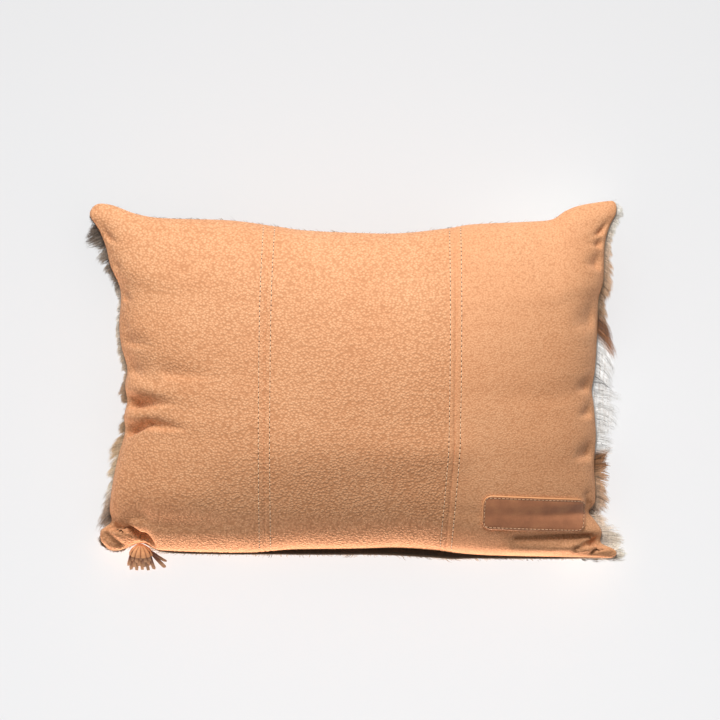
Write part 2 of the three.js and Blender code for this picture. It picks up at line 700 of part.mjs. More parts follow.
// The tassel: a rolled bell with strips cut in its lower edge, which lean out and rest level on the surface.
function tassel() {
  const { axis } = TASSEL;
  const top = new THREE.Vector3(...TASSEL.top);
  const profile = TASSEL_HEAD.map(({ along, radius }) => new THREE.Vector2(radius, along));
  const headLength = TASSEL_HEAD.at(-1).along;
  profile.unshift(new THREE.Vector2(0, 0));
  profile.push(new THREE.Vector2(0, headLength));
  const head = new THREE.LatheGeometry(profile, 20);
  const turnTo = new THREE.Quaternion().setFromUnitVectors(new THREE.Vector3(0, 1, 0), axis);
  head.applyQuaternion(turnTo).translate(top.x, top.y, top.z);
  const sideways = new THREE.Vector3(0, 0, 1).cross(axis).normalize();
  const upwards = axis.clone().cross(sideways);
  const strands = STRAND_RINGS.flatMap(({ strands, radius, splay, long }, ring) =>
    Array.from({ length: strands }, (_, k) => {
      const angle = ((k + ring * 0.37) / strands) * Math.PI * 2;
      const outward = sideways
        .clone()
        .multiplyScalar(Math.cos(angle))
        .addScaledVector(upwards, Math.sin(angle));
      const wide = outward.clone().cross(axis).normalize();
      const direction = axis.clone().addScaledVector(outward, splay * (0.8 + 0.4 * Math.sin(k * 2.1) ** 2));
      direction.normalize();
      const root = top.clone().addScaledVector(axis, headLength - STRAND.sunk);
      root.addScaledVector(outward, radius);
      const reach = long * (0.9 + 0.14 * Math.sin(k * 3.3 + ring));
      const level = TASSEL.floor + 1.9 * ring + Math.abs(wide.z) * STRAND.width + STRAND.thickness;
      const path = Array.from({ length: STRAND.steps + 1 }, (_, n) => {
        const point = root.clone().addScaledVector(direction, (reach * n) / STRAND.steps);
        point.z = Math.max(point.z, level);
        return point;
      });
      return leatherStrip(path, wide);
    }),
  );
  return geometryOf(strands.reduce((all, strand) => all.add(solidOf(strand)), solidOf(head)));
}

const finishes = {
  nubuck: { color: 0xdca375, roughness: 0.75, metalness: 0 },
  hair: { color: 0xb89a7c, roughness: 0.9, metalness: 0 },
  hide: { color: 0x94614a, roughness: 0.5, metalness: 0 },
  strip: { color: 0xd89a68, roughness: 0.7, metalness: 0 },
};

function piece(name, geometry, finish) {
  const mesh = new THREE.Mesh(geometry, new THREE.MeshStandardMaterial(finishes[finish]));
  mesh.name = name;
  mesh.geometry.computeVertexNormals();
  return mesh;
}

const cover = piece("filled_leather_cover", filledCover(), "nubuck");
const cushion = new THREE.Group();
cushion.add(cover);
cushion.add(piece("springbok_hide_back", hideBack(), "hair"));
cushion.add(piece("leather_patch", leatherPatch(cover), "hide"));
cushion.add(piece("pull_tassel", tassel(), "strip"));

export default cushion;
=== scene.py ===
import math

import bpy
import numpy as np
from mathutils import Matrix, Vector


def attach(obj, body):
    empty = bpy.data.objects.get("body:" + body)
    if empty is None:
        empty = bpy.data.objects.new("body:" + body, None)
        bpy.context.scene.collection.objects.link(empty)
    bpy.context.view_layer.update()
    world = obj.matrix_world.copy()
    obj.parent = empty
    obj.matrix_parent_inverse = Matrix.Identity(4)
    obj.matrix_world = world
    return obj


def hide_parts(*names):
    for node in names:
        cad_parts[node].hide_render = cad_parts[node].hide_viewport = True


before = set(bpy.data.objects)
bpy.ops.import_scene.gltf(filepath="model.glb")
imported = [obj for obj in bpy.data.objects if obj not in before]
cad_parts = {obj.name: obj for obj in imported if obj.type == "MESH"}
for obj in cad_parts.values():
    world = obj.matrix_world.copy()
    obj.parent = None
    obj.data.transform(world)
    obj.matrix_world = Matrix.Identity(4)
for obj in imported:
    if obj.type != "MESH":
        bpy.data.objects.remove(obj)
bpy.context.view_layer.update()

# A filled lumbar cushion that lies on its back: a leather face of three panels, topstitched, over a springbok
# hide with its hair on. Lengths are in millimetres until put_mesh turns them into metres.
MM = 0.001
rng = np.random.default_rng(11)

HALF_WIDTH, HALF_HEIGHT = 294.0, 195.0
SEAM_HEIGHT, FACE_CROWN, BACK_DEPTH, HIDE_THICKNESS = 62.0, 80.0, 92.0, 9.0
EDGE_THICKNESS, PIECE_GAP = 2.4, 0.3
NORMAL_STEP = 0.004  # step across or up the cover from which the face's normal is found
HIDE_STEP = 0.003  # the same for the hide
SHOULDER = 1.6  # the skin's rim below the underside of the sewn edge
RING_SHARES = (0.97, 0.92, 0.8, 0.6, 0.4, 0.2)  # rings that close a body inward from its rim

# Unevenness of the filling: its height, and two waves, each with its lengths across and up and its start
UNEVEN, WAVES = 1.1, [(41, 67, 0.6), (-88, 35, 2.1)]
# A seam's valleys, as depth and half width: from the pull of the seam, and where the panels turn under
VALLEYS = [(2.2, 26), (0.9, 2.2)]
# Puckers at the sewn edge: height, how far inland they fade, how soon they fade at a corner, and then for the
# two ends and the two long edges the face's half size, the length of a pucker and the length of its drift
PUCKER, PUCKER_FADE, PUCKER_CORNER = 0.35, 17, 8
END_PUCKERS, LONG_PUCKERS = (270, 4.3, 23), (180, 4.9, 31)
# Grooves in the face, as depth and half width: along a seam, and along a row of stitches
SEAM_GROOVE, ROW_GROOVE = (0.5, 0.8), (0.4, 1.1)

# Crown across the cover: (1 - |p|^across) times (1 - |q|^up), to the power steep
FACE_FILL = (3.0, 2.4, 0.6)
BACK_FILL = (3.0, 2.3, 0.5)
INNER_FILL = (3.0, 2.3, 0.8)

# Sewn edge at the two ends: how far up the cover, and how far out the edge is there
LEFT_EDGE = [
    (-195, -280), (-174, -282), (-163, -270), (-148, -271.5), (-117, -267.5), (-85, -260.5), (-60, -253.5),
    (-42, -254.5), (-26, -251), (-8, -253.5), (12, -251), (38, -257.5), (60, -260), (103, -259), (127, -270),
    (147, -275), (166, -283), (181, -293), (195, -294),
]
RIGHT_EDGE = [
    (-195, 294), (-187, 290), (-180, 275), (-166, 275), (-154, 267), (-145, 260.5), (-133, 267.5), (-92, 266),
    (-60, 268), (-26, 265.5), (-10, 263.5), (12, 267), (54, 269.5), (90, 271), (107, 276), (150, 278.5),
    (169, 284), (182, 291), (195, 291),
]
# Sewn edge along the top and bottom: how far across the cover, and how high the edge is there
TOP_EDGE = [
    (-294, 196.5), (-270, 193.5), (-244, 184), (-217, 179), (-137, 176), (-84, 169), (-56, 165), (0, 162.3),
    (50, 161.7), (102, 167), (130, 171.5), (195, 174.8), (221, 177.5), (235, 186.5), (250, 192.5), (275, 197),
    (294, 199),
]
BOTTOM_EDGE = [
    (-294, -190), (-262, -190), (-247, -184), (-238, -181.5), (-231, -182), (-222, -188), (-211, -190),
    (-164, -191.5), (-111, -191.5), (-71, -188.5), (0, -187.5), (49, -186.5), (89, -189), (115, -192.5),
    (155, -195), (235, -197), (294, -198.5),
]
# The two seams between the panels: how far up, how far across
LEFT_SEAM = [(-195, -98.5), (66, -97.3), (195, -93)]
RIGHT_SEAM = [(-195, 101), (-173, 102.5), (-122, 106.6), (-67, 110), (66, 112), (195, 112)]

# Corners: side, end, radius of the tip, droop of the empty corner below the sides
CORNERS = [(-1, -1, 12, 32), (1, -1, 9, 22), (-1, 1, 15, 14), (1, 1, 6, 12)]

# Creases (depth over 0) and rolls (depth under 0): a line, its half width above and below the line, and its
# depth at the start and at the end. The main creases sink gently from above and end in a sharp lip.
FOLDS = [
    (-258, -28.5, -186, -28, 11, 2.6, 12, 0),
    (-262, -65, -228, -51.5, 11, 2.4, 12, 9),
    (-228, -51.5, -176, -56, 9.5, 2.8, 8.5, 0),
    (-250, -10, -195, -12, 11, 11, -4, 0),
    (-250, -41, -205, -39, 7, 7, -3.5, 0),
    (-248, 10, -228, 2, 9, 4, 4, 0),
    (-256, 42, -215, 36, 12, 5, 4.5, 0),
    (-258, 57, -242, 53, 8, 4, 3.5, 0),
    (-288, 161, -262, 151, 8, 2.8, 10, 1),
    (-273, 126, -254, 121, 7, 2.8, 7, 0),
    (-264, 93, -244, 85, 7.5, 2.6, 9, 0),
    (-205, 6, -140, 2, 10, 5, 3, 0),
    (-270, -163, -254, -166, 5.5, 2.0, 8, 11),
    (-254, -166, -234, -176.5, 5.5, 2.0, 11, 11),
    (-234, -176.5, -221, -190, 5, 2.0, 11, 5),
    (-276, -165, -258, -170, 2.6, 1.6, 5, 6),
    (-277, -174, -260, -186, 6, 3.5, 5, 4),
    (-250, -132, -175, -130, 34, 34, -5, -3),
    (180, -177, 262, -175.5, 5, 2.4, 4, 8),
    (175, -185, 262, -185, 8, 8, -3, -4),
    (279, -180, 246, -188.5, 6, 2, 11, 5),
    (285, -182.5, 266, -193, 4, 1.9, 7, 4),
    (293, -188, 285, -196, 3, 2.2, 3, 1),
    (259, -129, 265, -147, 5, 4, 3, 9),
    (266, -145, 250, -143, 7, 3.5, 6, 0),
    (266, -82, 238, -88, 12, 6, 7, 0),
    (266, -36, 244, -42, 9, 5, 5.5, 0),
    (266, -8, 240, -13, 10, 5, 5.5, 0),
    (266, 66, 232, 58, 18, 12, 5, 0),
    (292, 177, 280, 173, 5, 2.6, 7, 0),
    (286, 166, 264, 158, 7, 2.4, 10, 1),
    (282, 147, 262, 150, 8, 2.8, 9, 1),
    (276, 126, 250, 130, 13, 5, 6, 0),
    (226, 186, 220, 160, 9, 9, 3, 0),
    (-80, -78, 110, -80, 34, 34, -3.2, -3.2),
]
DEEPEST_FOLD = 0.6  # share of the filling under it that a crease may take
LIP_SOFTNESS = 1.5  # how much of the lip's width the change from above to below takes
TAPER = 0.4  # share of its width that a fold loses along its line
EDGE_FADE = 5  # a fold fades over this distance from the sewn edge

STITCH_ROW = 6.2
STITCH_PITCH = 5.6
PATCH = {
    "centre": (198.5, -148.0),
    "turn": -0.049,
    "width": 115.5,
    "height": 37.5,
    "corner": 10.5,
    "thick": 2.0,
    "side": 0.7,  # height of its cut side, under the rounding
    "row": 2.5,  # the thread's distance inside its edge
    "pitch": 4.6,
}
PATCH_LIFT = 0.35

# How far the hide shows past the leather along the bottom edge: how far across, and how far out
HIDE_REACH = [
    (-294, 1), (-230, 1.5), (-200, 3), (-111, 3.3), (-71, 6.5), (0, 7.5), (49, 9.5), (89, 8.5), (115, 5.5),
    (155, 4), (235, 2.5), (270, 1), (294, 1),
]
# How far the hair stands out past the leather at the two ends: how far up the cover, and how far out
LEFT_REACH = [
    (-199, 1), (-185, 2), (-172, 5), (-161, 14), (-152, 17), (-130, 11), (-111, 8), (-90, 13), (-67, 14),
    (-50, 10), (-23, 9), (0, 6), (44, 5), (60, 4), (100, 5), (133, 10), (150, 15), (164, 17), (172, 6),
    (181, 0.5), (199, 0.3),
]
RIGHT_REACH = [
    (-199, 13), (-190, 17), (-180, 27), (-168, 24), (-156, 16), (-120, 14), (-89, 16), (-78, 19), (-40, 21),
    (-20, 29), (-8, 29), (3, 20), (33, 19), (55, 18), (70, 16), (88, 12), (144, 9), (166, 8.5), (185, 8),
    (199, 6),
]
# How far the hair leans down the cover for each step outward
LEFT_LEAN = [
    (-199, 0.5), (-150, 1.3), (-100, 1.1), (-40, 0.7), (20, 0.6), (80, 0.9), (140, 0.6), (165, 0), (199, 0),
]
RIGHT_LEAN = [
    (-199, -0.3), (-178, -0.2), (-150, 0.7), (-115, 0.6), (-88, -0.5), (-60, 0.5), (-30, 0.6), (-12, 0.1),
    (5, 1.2), (40, 2.6), (75, 2.8), (110, 2.0), (160, 0.9), (199, 0.0),
]

# Colours of the hair up the left end, the middle and the right end
LEFT_HAIR = [
    (-195, "b9a28c"), (-170, "c4ab94"), (-155, "9c7e68"), (-135, "bea38c"), (-115, "e9dccb"), (-95, "d3b997"),
    (-60, "c8a47c"), (-25, "c59f7a"), (-5, "b89678"), (20, "d9c4aa"), (45, "d8c8b5"), (80, "d6cbbd"),
    (95, "cdc0b1"), (120, "a08c79"), (135, "968473"), (149, "a39180"), (162, "6f5d4e"), (175, "8f7b69"),
    (199, "cdbba2"),
]
MIDDLE_HAIR = [(-199, "b08a60"), (-90, "a97c50"), (0, "c09468"), (90, "a5774b"), (199, "bb9166")]
RIGHT_HAIR = [
    (-195, "f4e6d6"), (-170, "efddcb"), (-150, "e0c8b0"), (-135, "d8b596"), (-112, "d9ac84"), (-92, "a8703f"),
    (-80, "b07a4c"), (-72, "f8f7f4"), (42, "fbfaf8"), (52, "b5794c"), (64, "93603c"), (78, "cfa883"),
    (110, "dcb795"), (150, "e2cbb4"), (165, "f1e7da"), (199, "f4eee4"),
]
DARK_HAIR = "2c211a"


def linear(hex_colour):
    """sRGB hex to linear red, green, blue: the standard curve, straight below 0.04045."""
    srgb = np.array([int(hex_colour[k : k + 2], 16) for k in (0, 2, 4)]) / 255
    return np.where(srgb <= 0.04045, srgb / 12.92, ((srgb + 0.055) / 1.055) ** 2.4)


def ease(x):
    """0 to 1 with level ends: three squares less two cubes."""
    x = np.clip(x, 0, 1)
    return x * x * (3 - 2 * x)


def curve_through(rows):
    """A smooth curve through (at, value) rows: cubic pieces; the slope at a row is that of its neighbours."""
    at, value = np.array(rows, float).T
    number = np.arange(len(at))
    behind, ahead = np.maximum(number - 1, 0), np.minimum(number + 1, len(at) - 1)
    slope = (value[ahead] - value[behind]) / (at[ahead] - at[behind])

    def curve(x):
        x = np.asarray(x, float)
        i = np.clip(np.searchsorted(at, x) - 1, 0, len(at) - 2)
        span = at[i + 1] - at[i]
        h = np.clip((x - at[i]) / span, 0, 1)
        rise = ease(h)
        leave = h * (1 - h) ** 2 * span * slope[i]
        arrive = h**2 * (1 - h) * span * slope[i + 1]
        return value[i] * (1 - rise) + value[i + 1] * rise + leave - arrive

    return curve


left_edge, right_edge = curve_through(LEFT_EDGE), curve_through(RIGHT_EDGE)
top_edge, bottom_edge = curve_through(TOP_EDGE), curve_through(BOTTOM_EDGE)
left_seam, right_seam = curve_through(LEFT_SEAM), curve_through(RIGHT_SEAM)


def graded(length, first, middle, last):
    """Shares of a length whose steps grow by 0.3 of the distance from each end, up to the middle step."""
    s = np.linspace(0, length, 2001)
    step = np.minimum(middle, np.minimum(first + 0.3 * s, last + 0.3 * (length - s)))
    count = np.concatenate([[0], np.cumsum((s[1:] - s[:-1]) / step[1:])])
    cells = max(1, round(count[-1]))
    return np.interp(np.linspace(0, count[-1], cells + 1), count, s) / length


def unit(v):
    return v / np.maximum(np.linalg.norm(v, axis=-1, keepdims=True), 1e-9)


def seam_height(p, q):
    """Height of the sewn edge at the place p across and q up (-1 to 1): level, drooping at the corners."""
    droop = sum(d * (np.maximum(0, s * p) * np.maximum(0, e * q)) ** 2.5 for s, e, _, d in CORNERS)
    return SEAM_HEIGHT - droop


def plan(p, q, left=0.0, right=0.0, top=0.0, bottom=0.0):
    """Plan position of a place: between the two ends, then between the two long edges, pushed out by the
    reach at each edge, and with each square corner of its own radius drawn in to a quarter disc."""
    up = q * HALF_HEIGHT
    low, high = left_edge(up) - left, right_edge(up) + right
    x = low + (high - low) * (p + 1) / 2
    inside = np.clip(x, -HALF_WIDTH, HALF_WIDTH)
    low, high = bottom_edge(inside) - bottom, top_edge(inside) + top
    y = low + (high - low) * (q + 1) / 2
    for side, end, radius, _ in CORNERS:
        reach_x, reach_y = (left if side < 0 else right), (bottom if end < 0 else top)
        tip_x = (left_edge if side < 0 else right_edge)(end * HALF_HEIGHT) + side * reach_x
        tip_y = (bottom_edge if end < 0 else top_edge)(side * HALF_WIDTH) + end * reach_y
        size = radius + reach_x
        a, b = side * (x - tip_x) / size + 1, end * (y - tip_y) / size + 1
        near = (a > 0) & (b > 0)
        a, b = np.where(near, np.minimum(a, 1), 0), np.where(near, np.minimum(b, 1), 0)
        x = x + side * size * (a * np.sqrt(1 - b * b / 2) - a)
        y = y + end * size * (b * np.sqrt(1 - a * a / 2) - b)
    return x, y


def place_of(x, y):
    """The place (p, q) of a plan position away from the corners: the reverse of plan."""
    q = 2 * (y - bottom_edge(x)) / (top_edge(x) - bottom_edge(x)) - 1
    low, high = left_edge(q * HALF_HEIGHT), right_edge(q * HALF_HEIGHT)
    return 2 * (x - low) / (high - low) - 1, q


def fullness(p, q, fill):
    across, up, steep = fill
    return (np.maximum(0, 1 - np.abs(p) ** across) * np.maximum(0, 1 - np.abs(q) ** up)) ** steep


def plain_face(p, q):
    """The face before it is creased: the crown, a soft unevenness from two crossing waves, a bell-shaped
    valley along each seam, and puckers that fade inland from the sewn edge."""
    x, y = plan(p, q)
    fill = fullness(p, q, FACE_FILL)
    height = UNEVEN * sum(np.sin(x / across + y / up + start) for across, up, start in WAVES)
    for seam in (left_seam, right_seam):
        off = np.abs(x - seam(y))
        for deep, half_width in VALLEYS:
            height = height - deep * np.exp(-((off / half_width) ** 2))

    def puckers(across, along, other, sizes):
        half_size, long, drift = sizes
        fade = np.exp(-(((1 - np.abs(across)) * half_size / PUCKER_FADE) ** 2))
        fade = fade * ease((1 - np.abs(other)) * PUCKER_CORNER)
        return fade * np.sin(along / long + 2 * np.sin(along / drift))

    both = puckers(p, y, q, END_PUCKERS) + puckers(q, x, p, LONG_PUCKERS)
    height = height * np.minimum(1, fill * 3) + PUCKER * both * ease(fill * 6)
    return np.stack([x, y, seam_height(p, q) + FACE_CROWN * fill + height], axis=-1)


def surface_normal(surface, p, q, step):
    """Points of a surface and its upward normals there, from short steps inward along p and q."""
    here = surface(p, q)
    across = (surface(p + np.where(p > 0, -step, step), q) - here) * np.where(p > 0, -1, 1)[..., None]
    up = (surface(p, q + np.where(q > 0, -step, step)) - here) * np.where(q > 0, -1, 1)[..., None]
    return here, unit(np.cross(across, up))


def fold_depth(x, y):
    """Depth of the folds: each is a bell across its line, wider above it than below, that fades along it. The
    rolls add up; the creases join as the fourth root of the sum of their fourth powers."""
    creases, rolls = np.zeros_like(x), np.zeros_like(x)
    for x0, y0, x1, y1, above, below, start, end in FOLDS:
        dx, dy = x1 - x0, y1 - y0
        h = np.clip(((x - x0) * dx + (y - y0) * dy) / (dx * dx + dy * dy), 0, 1)
        off_x, off_y = x - x0 - h * dx, y - y0 - h * dy
        upward = (off_x * -dy + off_y * dx) * (1 if dx > 0 else -1) / math.hypot(dx, dy)
        width = below + (above - below) * ease(upward / (LIP_SOFTNESS * below) + 0.5)
        width = width * (1 - TAPER * ease(h))
        depth = (start + (end - start) * ease(h)) * np.exp(-(off_x**2 + off_y**2) / width**2)
        if start > 0:
            creases += depth**4
        else:
            rolls += depth
    return creases**0.25 + rolls


def dish(p, q, lift):
    """The hollow in the hide that the filling rests in: it sinks from the sewn edge to a level bottom."""
    x, y = plan(p, q)
    rim = seam_height(p, q) - EDGE_THICKNESS - PIECE_GAP
    sunk = rim - (BACK_DEPTH - HIDE_THICKNESS) * fullness(p, q, INNER_FILL)
    return np.stack([x, y, np.maximum(HIDE_THICKNESS, sunk) + lift], axis=-1)


def face(p, q):
    """Finished face and its outward normal: the plain face, pushed in along its normal by the creases, and
    by a fine groove at each seam and each row of stitches. A crease leaves some of the filling under it."""
    at, normal = surface_normal(plain_face, p, q, NORMAL_STEP)
    inland = (1 - np.maximum(np.abs(p), np.abs(q))) * HALF_HEIGHT
    filling = at[..., 2] - dish(p, q, PIECE_GAP)[..., 2]
    depth = np.minimum(fold_depth(at[..., 0], at[..., 1]), DEEPEST_FOLD * filling)
    depth = depth * ease(inland / EDGE_FADE)
    for seam in (left_seam, right_seam):
        off = np.abs(at[..., 0] - seam(at[..., 1]))
        for (deep, half_width), middle in ((SEAM_GROOVE, 0), (ROW_GROOVE, STITCH_ROW)):
            depth = depth + deep * np.exp(-(((off - middle) / half_width) ** 2))
    return at - normal * depth[..., None], normal


# ---------------- meshes


def put_mesh(name, points, quads=(), triangles=(), material=None, tint=None, smooth=True, normals=None):
    """A mesh object from points in millimetres; faces are rows of corner numbers, anticlockwise outside."""
    quads = np.asarray(quads, np.int32).reshape(-1, 4)
    triangles = np.asarray(triangles, np.int32).reshape(-1, 3)
    mesh = bpy.data.meshes.new(name)
    mesh.vertices.add(len(points))
    mesh.vertices.foreach_set("co", (np.asarray(points, float) * MM).astype(np.float32).ravel())
    corners = np.concatenate([quads.ravel(), triangles.ravel()])
    mesh.loops.add(len(corners))
    mesh.loops.foreach_set("vertex_index", corners)
    starts = np.concatenate([np.arange(len(quads)) * 4, quads.size + np.arange(len(triangles)) * 3])
    mesh.polygons.add(len(starts))
    mesh.polygons.foreach_set("loop_start", starts.astype(np.int32))
    mesh.update(calc_edges=True)
    mesh.polygons.foreach_set("use_smooth", np.full(len(starts), smooth))
    if tint is not None:
        layer = mesh.color_attributes.new(name="tint", type="FLOAT_COLOR", domain="POINT")
        rgba = np.concatenate([np.clip(tint, 0, 1), np.ones((len(points), 1))], axis=1)
        layer.data.foreach_set("color", rgba.astype(np.float32).ravel())
    if normals is not None:
        mesh.normals_split_custom_set_from_vertices(normals.astype(np.float32))
    if material:
        mesh.materials.append(material)
    obj = bpy.data.objects.new(name, mesh)
    bpy.context.scene.collection.objects.link(obj)
    return obj


def rim_of(grid):
    """The rim of a grid in order: along its first row, up its last column, back along its last row, down."""
    return np.concatenate([grid[0, :-1], grid[:-1, -1], grid[-1, :0:-1], grid[:0:-1, 0]])


def sheet_quads(ids):
    return np.stack([ids[:-1, :-1], ids[:-1, 1:], ids[1:, 1:], ids[1:, :-1]], axis=-1).reshape(-1, 4)


def closed_body(grid, rings, centre, down=False):
    """A grid that rings close: each ring follows the grid's rim, and the last one closes on the centre."""
    ids = np.arange(grid.shape[0] * grid.shape[1]).reshape(grid.shape[:2])
    quads, last, start = [sheet_quads(ids)], rim_of(ids), ids.size
    for ring in rings:
        new = start + np.arange(len(ring))
        quads.append(np.stack([new, np.roll(new, -1), np.roll(last, -1), last], axis=-1))
        last, start = new, start + len(ring)
    triangles = np.stack([np.full(len(last), start), np.roll(last, -1), last], axis=-1)
    points = np.concatenate([grid.reshape(-1, 3), *rings, np.reshape(centre, (1, 3))])
    quads = np.concatenate(quads)
    if down:
        return points, quads[:, ::-1], triangles[:, ::-1]
    return points, quads, triangles


def tube_faces(count, sides):
    """Faces of a tube of so many rings, whose first and last end points follow its ring points."""
    ids = np.arange(count * sides).reshape(count, sides)
    nxt = np.roll(ids, -1, axis=1)
    quads = np.stack([ids[:-1], nxt[:-1], nxt[1:], ids[1:]], axis=-1).reshape(-1, 4)
    first = np.stack([np.full(sides, ids.size), nxt[0], ids[0]], axis=-1)
    final = np.stack([np.full(sides, ids.size + 1), ids[-1], nxt[-1]], axis=-1)
    return quads, np.concatenate([first, final])


def tubes(paths, radii, sides, wide, squash=1.0):
    """Tubes carried along paths (n, k, 3) with a radius at each point; wide (n, 3) is the direction across
    each tube, and the other one is squashed. Both ends close on the path's own end points."""
    n, k, _ = paths.shape
    along = unit(np.gradient(paths, axis=1))
    across = unit(wide[:, None] - along * np.sum(wide[:, None] * along, axis=-1, keepdims=True))
    thick = np.cross(along, across)
    turn = (np.arange(sides) + 0.5) * 2 * np.pi / sides
    ring = across[:, :, None] * np.cos(turn)[None, None, :, None]
    ring = ring + thick[:, :, None] * (squash * np.sin(turn))[None, None, :, None]
    body = paths[:, :, None] + ring * np.broadcast_to(radii, (n, k))[:, :, None, None]
    points = np.concatenate([body.reshape(n, -1, 3), paths[:, :1], paths[:, -1:]], axis=1)
    quads, triangles = tube_faces(k, sides)
    offset = (np.arange(n) * points.shape[1])[:, None, None]
    quads, triangles = (quads + offset).reshape(-1, 4), (triangles + offset).reshape(-1, 3)
    return points.reshape(-1, 3), quads, triangles


def quadratic(start, middle, end, t):
    """Points of the quadratic curves from start past middle to end, at the shares t of the way."""
    return (1 - t) ** 2 * start[:, None] + 2 * t * (1 - t) * middle[:, None] + t**2 * end[:, None]


def length_along(line):
    """How far along a line each of its points is."""
    return np.concatenate([[0], np.cumsum(np.linalg.norm(np.diff(line, axis=0), axis=1))])


def looked_up(marks, at, rows):
    """Three-part rows that are given at the places at, looked up between them at the marks."""
    return np.stack([np.interp(marks, at, rows[:, k]) for k in range(3)], axis=-1)


# ---------------- materials


def new_material(name):
    material = bpy.data.materials.new(name)
    material.use_nodes = True
    material.node_tree.nodes.clear()
    return material, material.node_tree


def add_node(tree, kind, links=None, values=None, stops=(), **settings):
    """Adds a node. A setting is a property of the node where it has that one, else an input's value; values
    are {input's number: value} and links {input: output socket}. Names of inputs are written with _ for a
    space. Stops are a colour ramp's (place, hex colour) rows."""
    node = tree.nodes.new(kind)
    inputs = {}
    for socket in node.inputs:
        inputs.setdefault(socket.name.replace(" ", "_"), socket)
    for key, value in settings.items():
        if hasattr(node, key) and key not in ("Color", "Scale"):
            setattr(node, key, value)
        elif isinstance(value, str):
            inputs[key].default_value = (*linear(value), 1)
        else:
            inputs[key].default_value = value
    for number, value in (values or {}).items():
        node.inputs[number].default_value = value
    while stops and len(node.color_ramp.elements) < len(stops):
        node.color_ramp.elements.new(0.5)
    for k, (place, colour) in enumerate(stops):
        node.color_ramp.elements[k].position = place
        node.color_ramp.elements[k].color = (*linear(colour), 1)
    for key, output in (links or {}).items():
        target = node.inputs[key] if isinstance(key, int) else inputs[key.replace(" ", "_")]
        tree.links.new(output, target)
    return node


def bumped_surface(tree, colour, height, strength, distance, **settings):
    """The material's surface: a principled shader of that colour, bumped by that height."""
    bump = add_node(tree, "ShaderNodeBump", {"Height": height}, Strength=strength, Distance=distance)
    links = {"Base Color": colour, "Normal": bump.outputs[0]}
    shader = add_node(tree, "ShaderNodeBsdfPrincipled", links, **settings)
    add_node(tree, "ShaderNodeOutputMaterial", {"Surface": shader.outputs[0]})


# Settings of a mix of two colours, and of one that multiplies them
MIX_COLOURS = {"data_type": "RGBA"}
MULTIPLY = {"data_type": "RGBA", "blend_type": "MULTIPLY"}


def nubuck_leather():
    """Tan nubuck: drum-milled cowhide, buffed matt. Pebbles of 3.6 mm, with painted highlight on their crowns
    and painted shade in their valleys, finer and flatter on the right panel, under a slow drift of the dye."""
    material, tree = new_material("milled_tan_nubuck")
    place = add_node(tree, "ShaderNodeTexCoord").outputs["Object"]
    turned, drawn = (0.35, 0.25, 0.6), (0.93, 1.08, 0.93)
    flat = add_node(tree, "ShaderNodeMapping", {"Vector": place}, Rotation=turned, Scale=drawn).outputs[0]
    pebble = add_node(tree, "ShaderNodeTexVoronoi", {"Vector": flat}, Scale=370, Randomness=0.88)
    fine = add_node(tree, "ShaderNodeTexVoronoi", {"Vector": flat}, Scale=500, Randomness=0.9)
    pores = add_node(tree, "ShaderNodeTexNoise", {"Vector": flat}, Scale=900, Detail=2, Roughness=0.6)
    patchy = add_node(tree, "ShaderNodeTexNoise", {"Vector": place}, Scale=75, Detail=3, Roughness=0.55)
    drift = add_node(tree, "ShaderNodeTexNoise", {"Vector": place}, Scale=12, Detail=3)
    across = add_node(tree, "ShaderNodeSeparateXYZ", {"Vector": place}).outputs[0]
    right = add_node(tree, "ShaderNodeMapRange", {"Value": across}, From_Min=0.100, From_Max=0.118).outputs[0]
    grain = add_node(tree, "ShaderNodeMix", {0: right, 2: pebble.outputs[0], 3: fine.outputs[0]}).outputs[0]
    calm = add_node(tree, "ShaderNodeMapRange", {"Value": right}, To_Max=0.25).outputs[0]
    shade = add_node(tree, "ShaderNodeMix", {0: calm, 2: grain}, {3: 0.36}).outputs[0]
    # Pale crowns and darker valleys: painted highlight and painted shade on the grain, on top of its bump
    crown_highlight_valley_shade_stops = [(0.1, "f2bb8f"), (0.3, "e6ac7f"), (0.5, "dca074"), (0.75, "cb9065")]
    grain_with_painted_light = add_node(tree, "ShaderNodeValToRGB", {"Fac": shade}, stops=crown_highlight_valley_shade_stops).outputs[0]
    rubbed = [(0.32, "e2cdbd"), (0.6, "ffffff")]
    worn = add_node(tree, "ShaderNodeValToRGB", {"Fac": patchy.outputs[0]}, stops=rubbed).outputs[0]
    toned = add_node(tree, "ShaderNodeMix", {6: grain_with_painted_light, 7: worn}, {0: 0.12}, **MULTIPLY).outputs[2]
    faded = [(0.3, "efdccd"), (0.7, "ffffff")]
    slow = add_node(tree, "ShaderNodeValToRGB", {"Fac": drift.outputs[0]}, stops=faded).outputs[0]
    dyed = add_node(tree, "ShaderNodeMix", {6: toned, 7: slow}, {0: 0.35}, **MULTIPLY).outputs[2]
    relief = add_node(tree, "ShaderNodeMapRange", {"Value": right}, To_Min=1, To_Max=0.45).outputs[0]
    links = {"Value": grain, "To Min": relief}
    raised = add_node(tree, "ShaderNodeMapRange", links, From_Min=0.1, From_Max=0.75, To_Max=0)
    links = {0: pores.outputs[0], 2: raised.outputs[0]}
    height = add_node(tree, "ShaderNodeMath", links, {1: 0.35}, operation="MULTIPLY_ADD").outputs[0]
    finish = {"Roughness": 0.72, "IOR": 1.32, "Sheen_Weight": 0.04, "Sheen_Roughness": 0.5}
    bumped_surface(tree, dyed, height, 0.92, 0.0006, **finish)
    return material


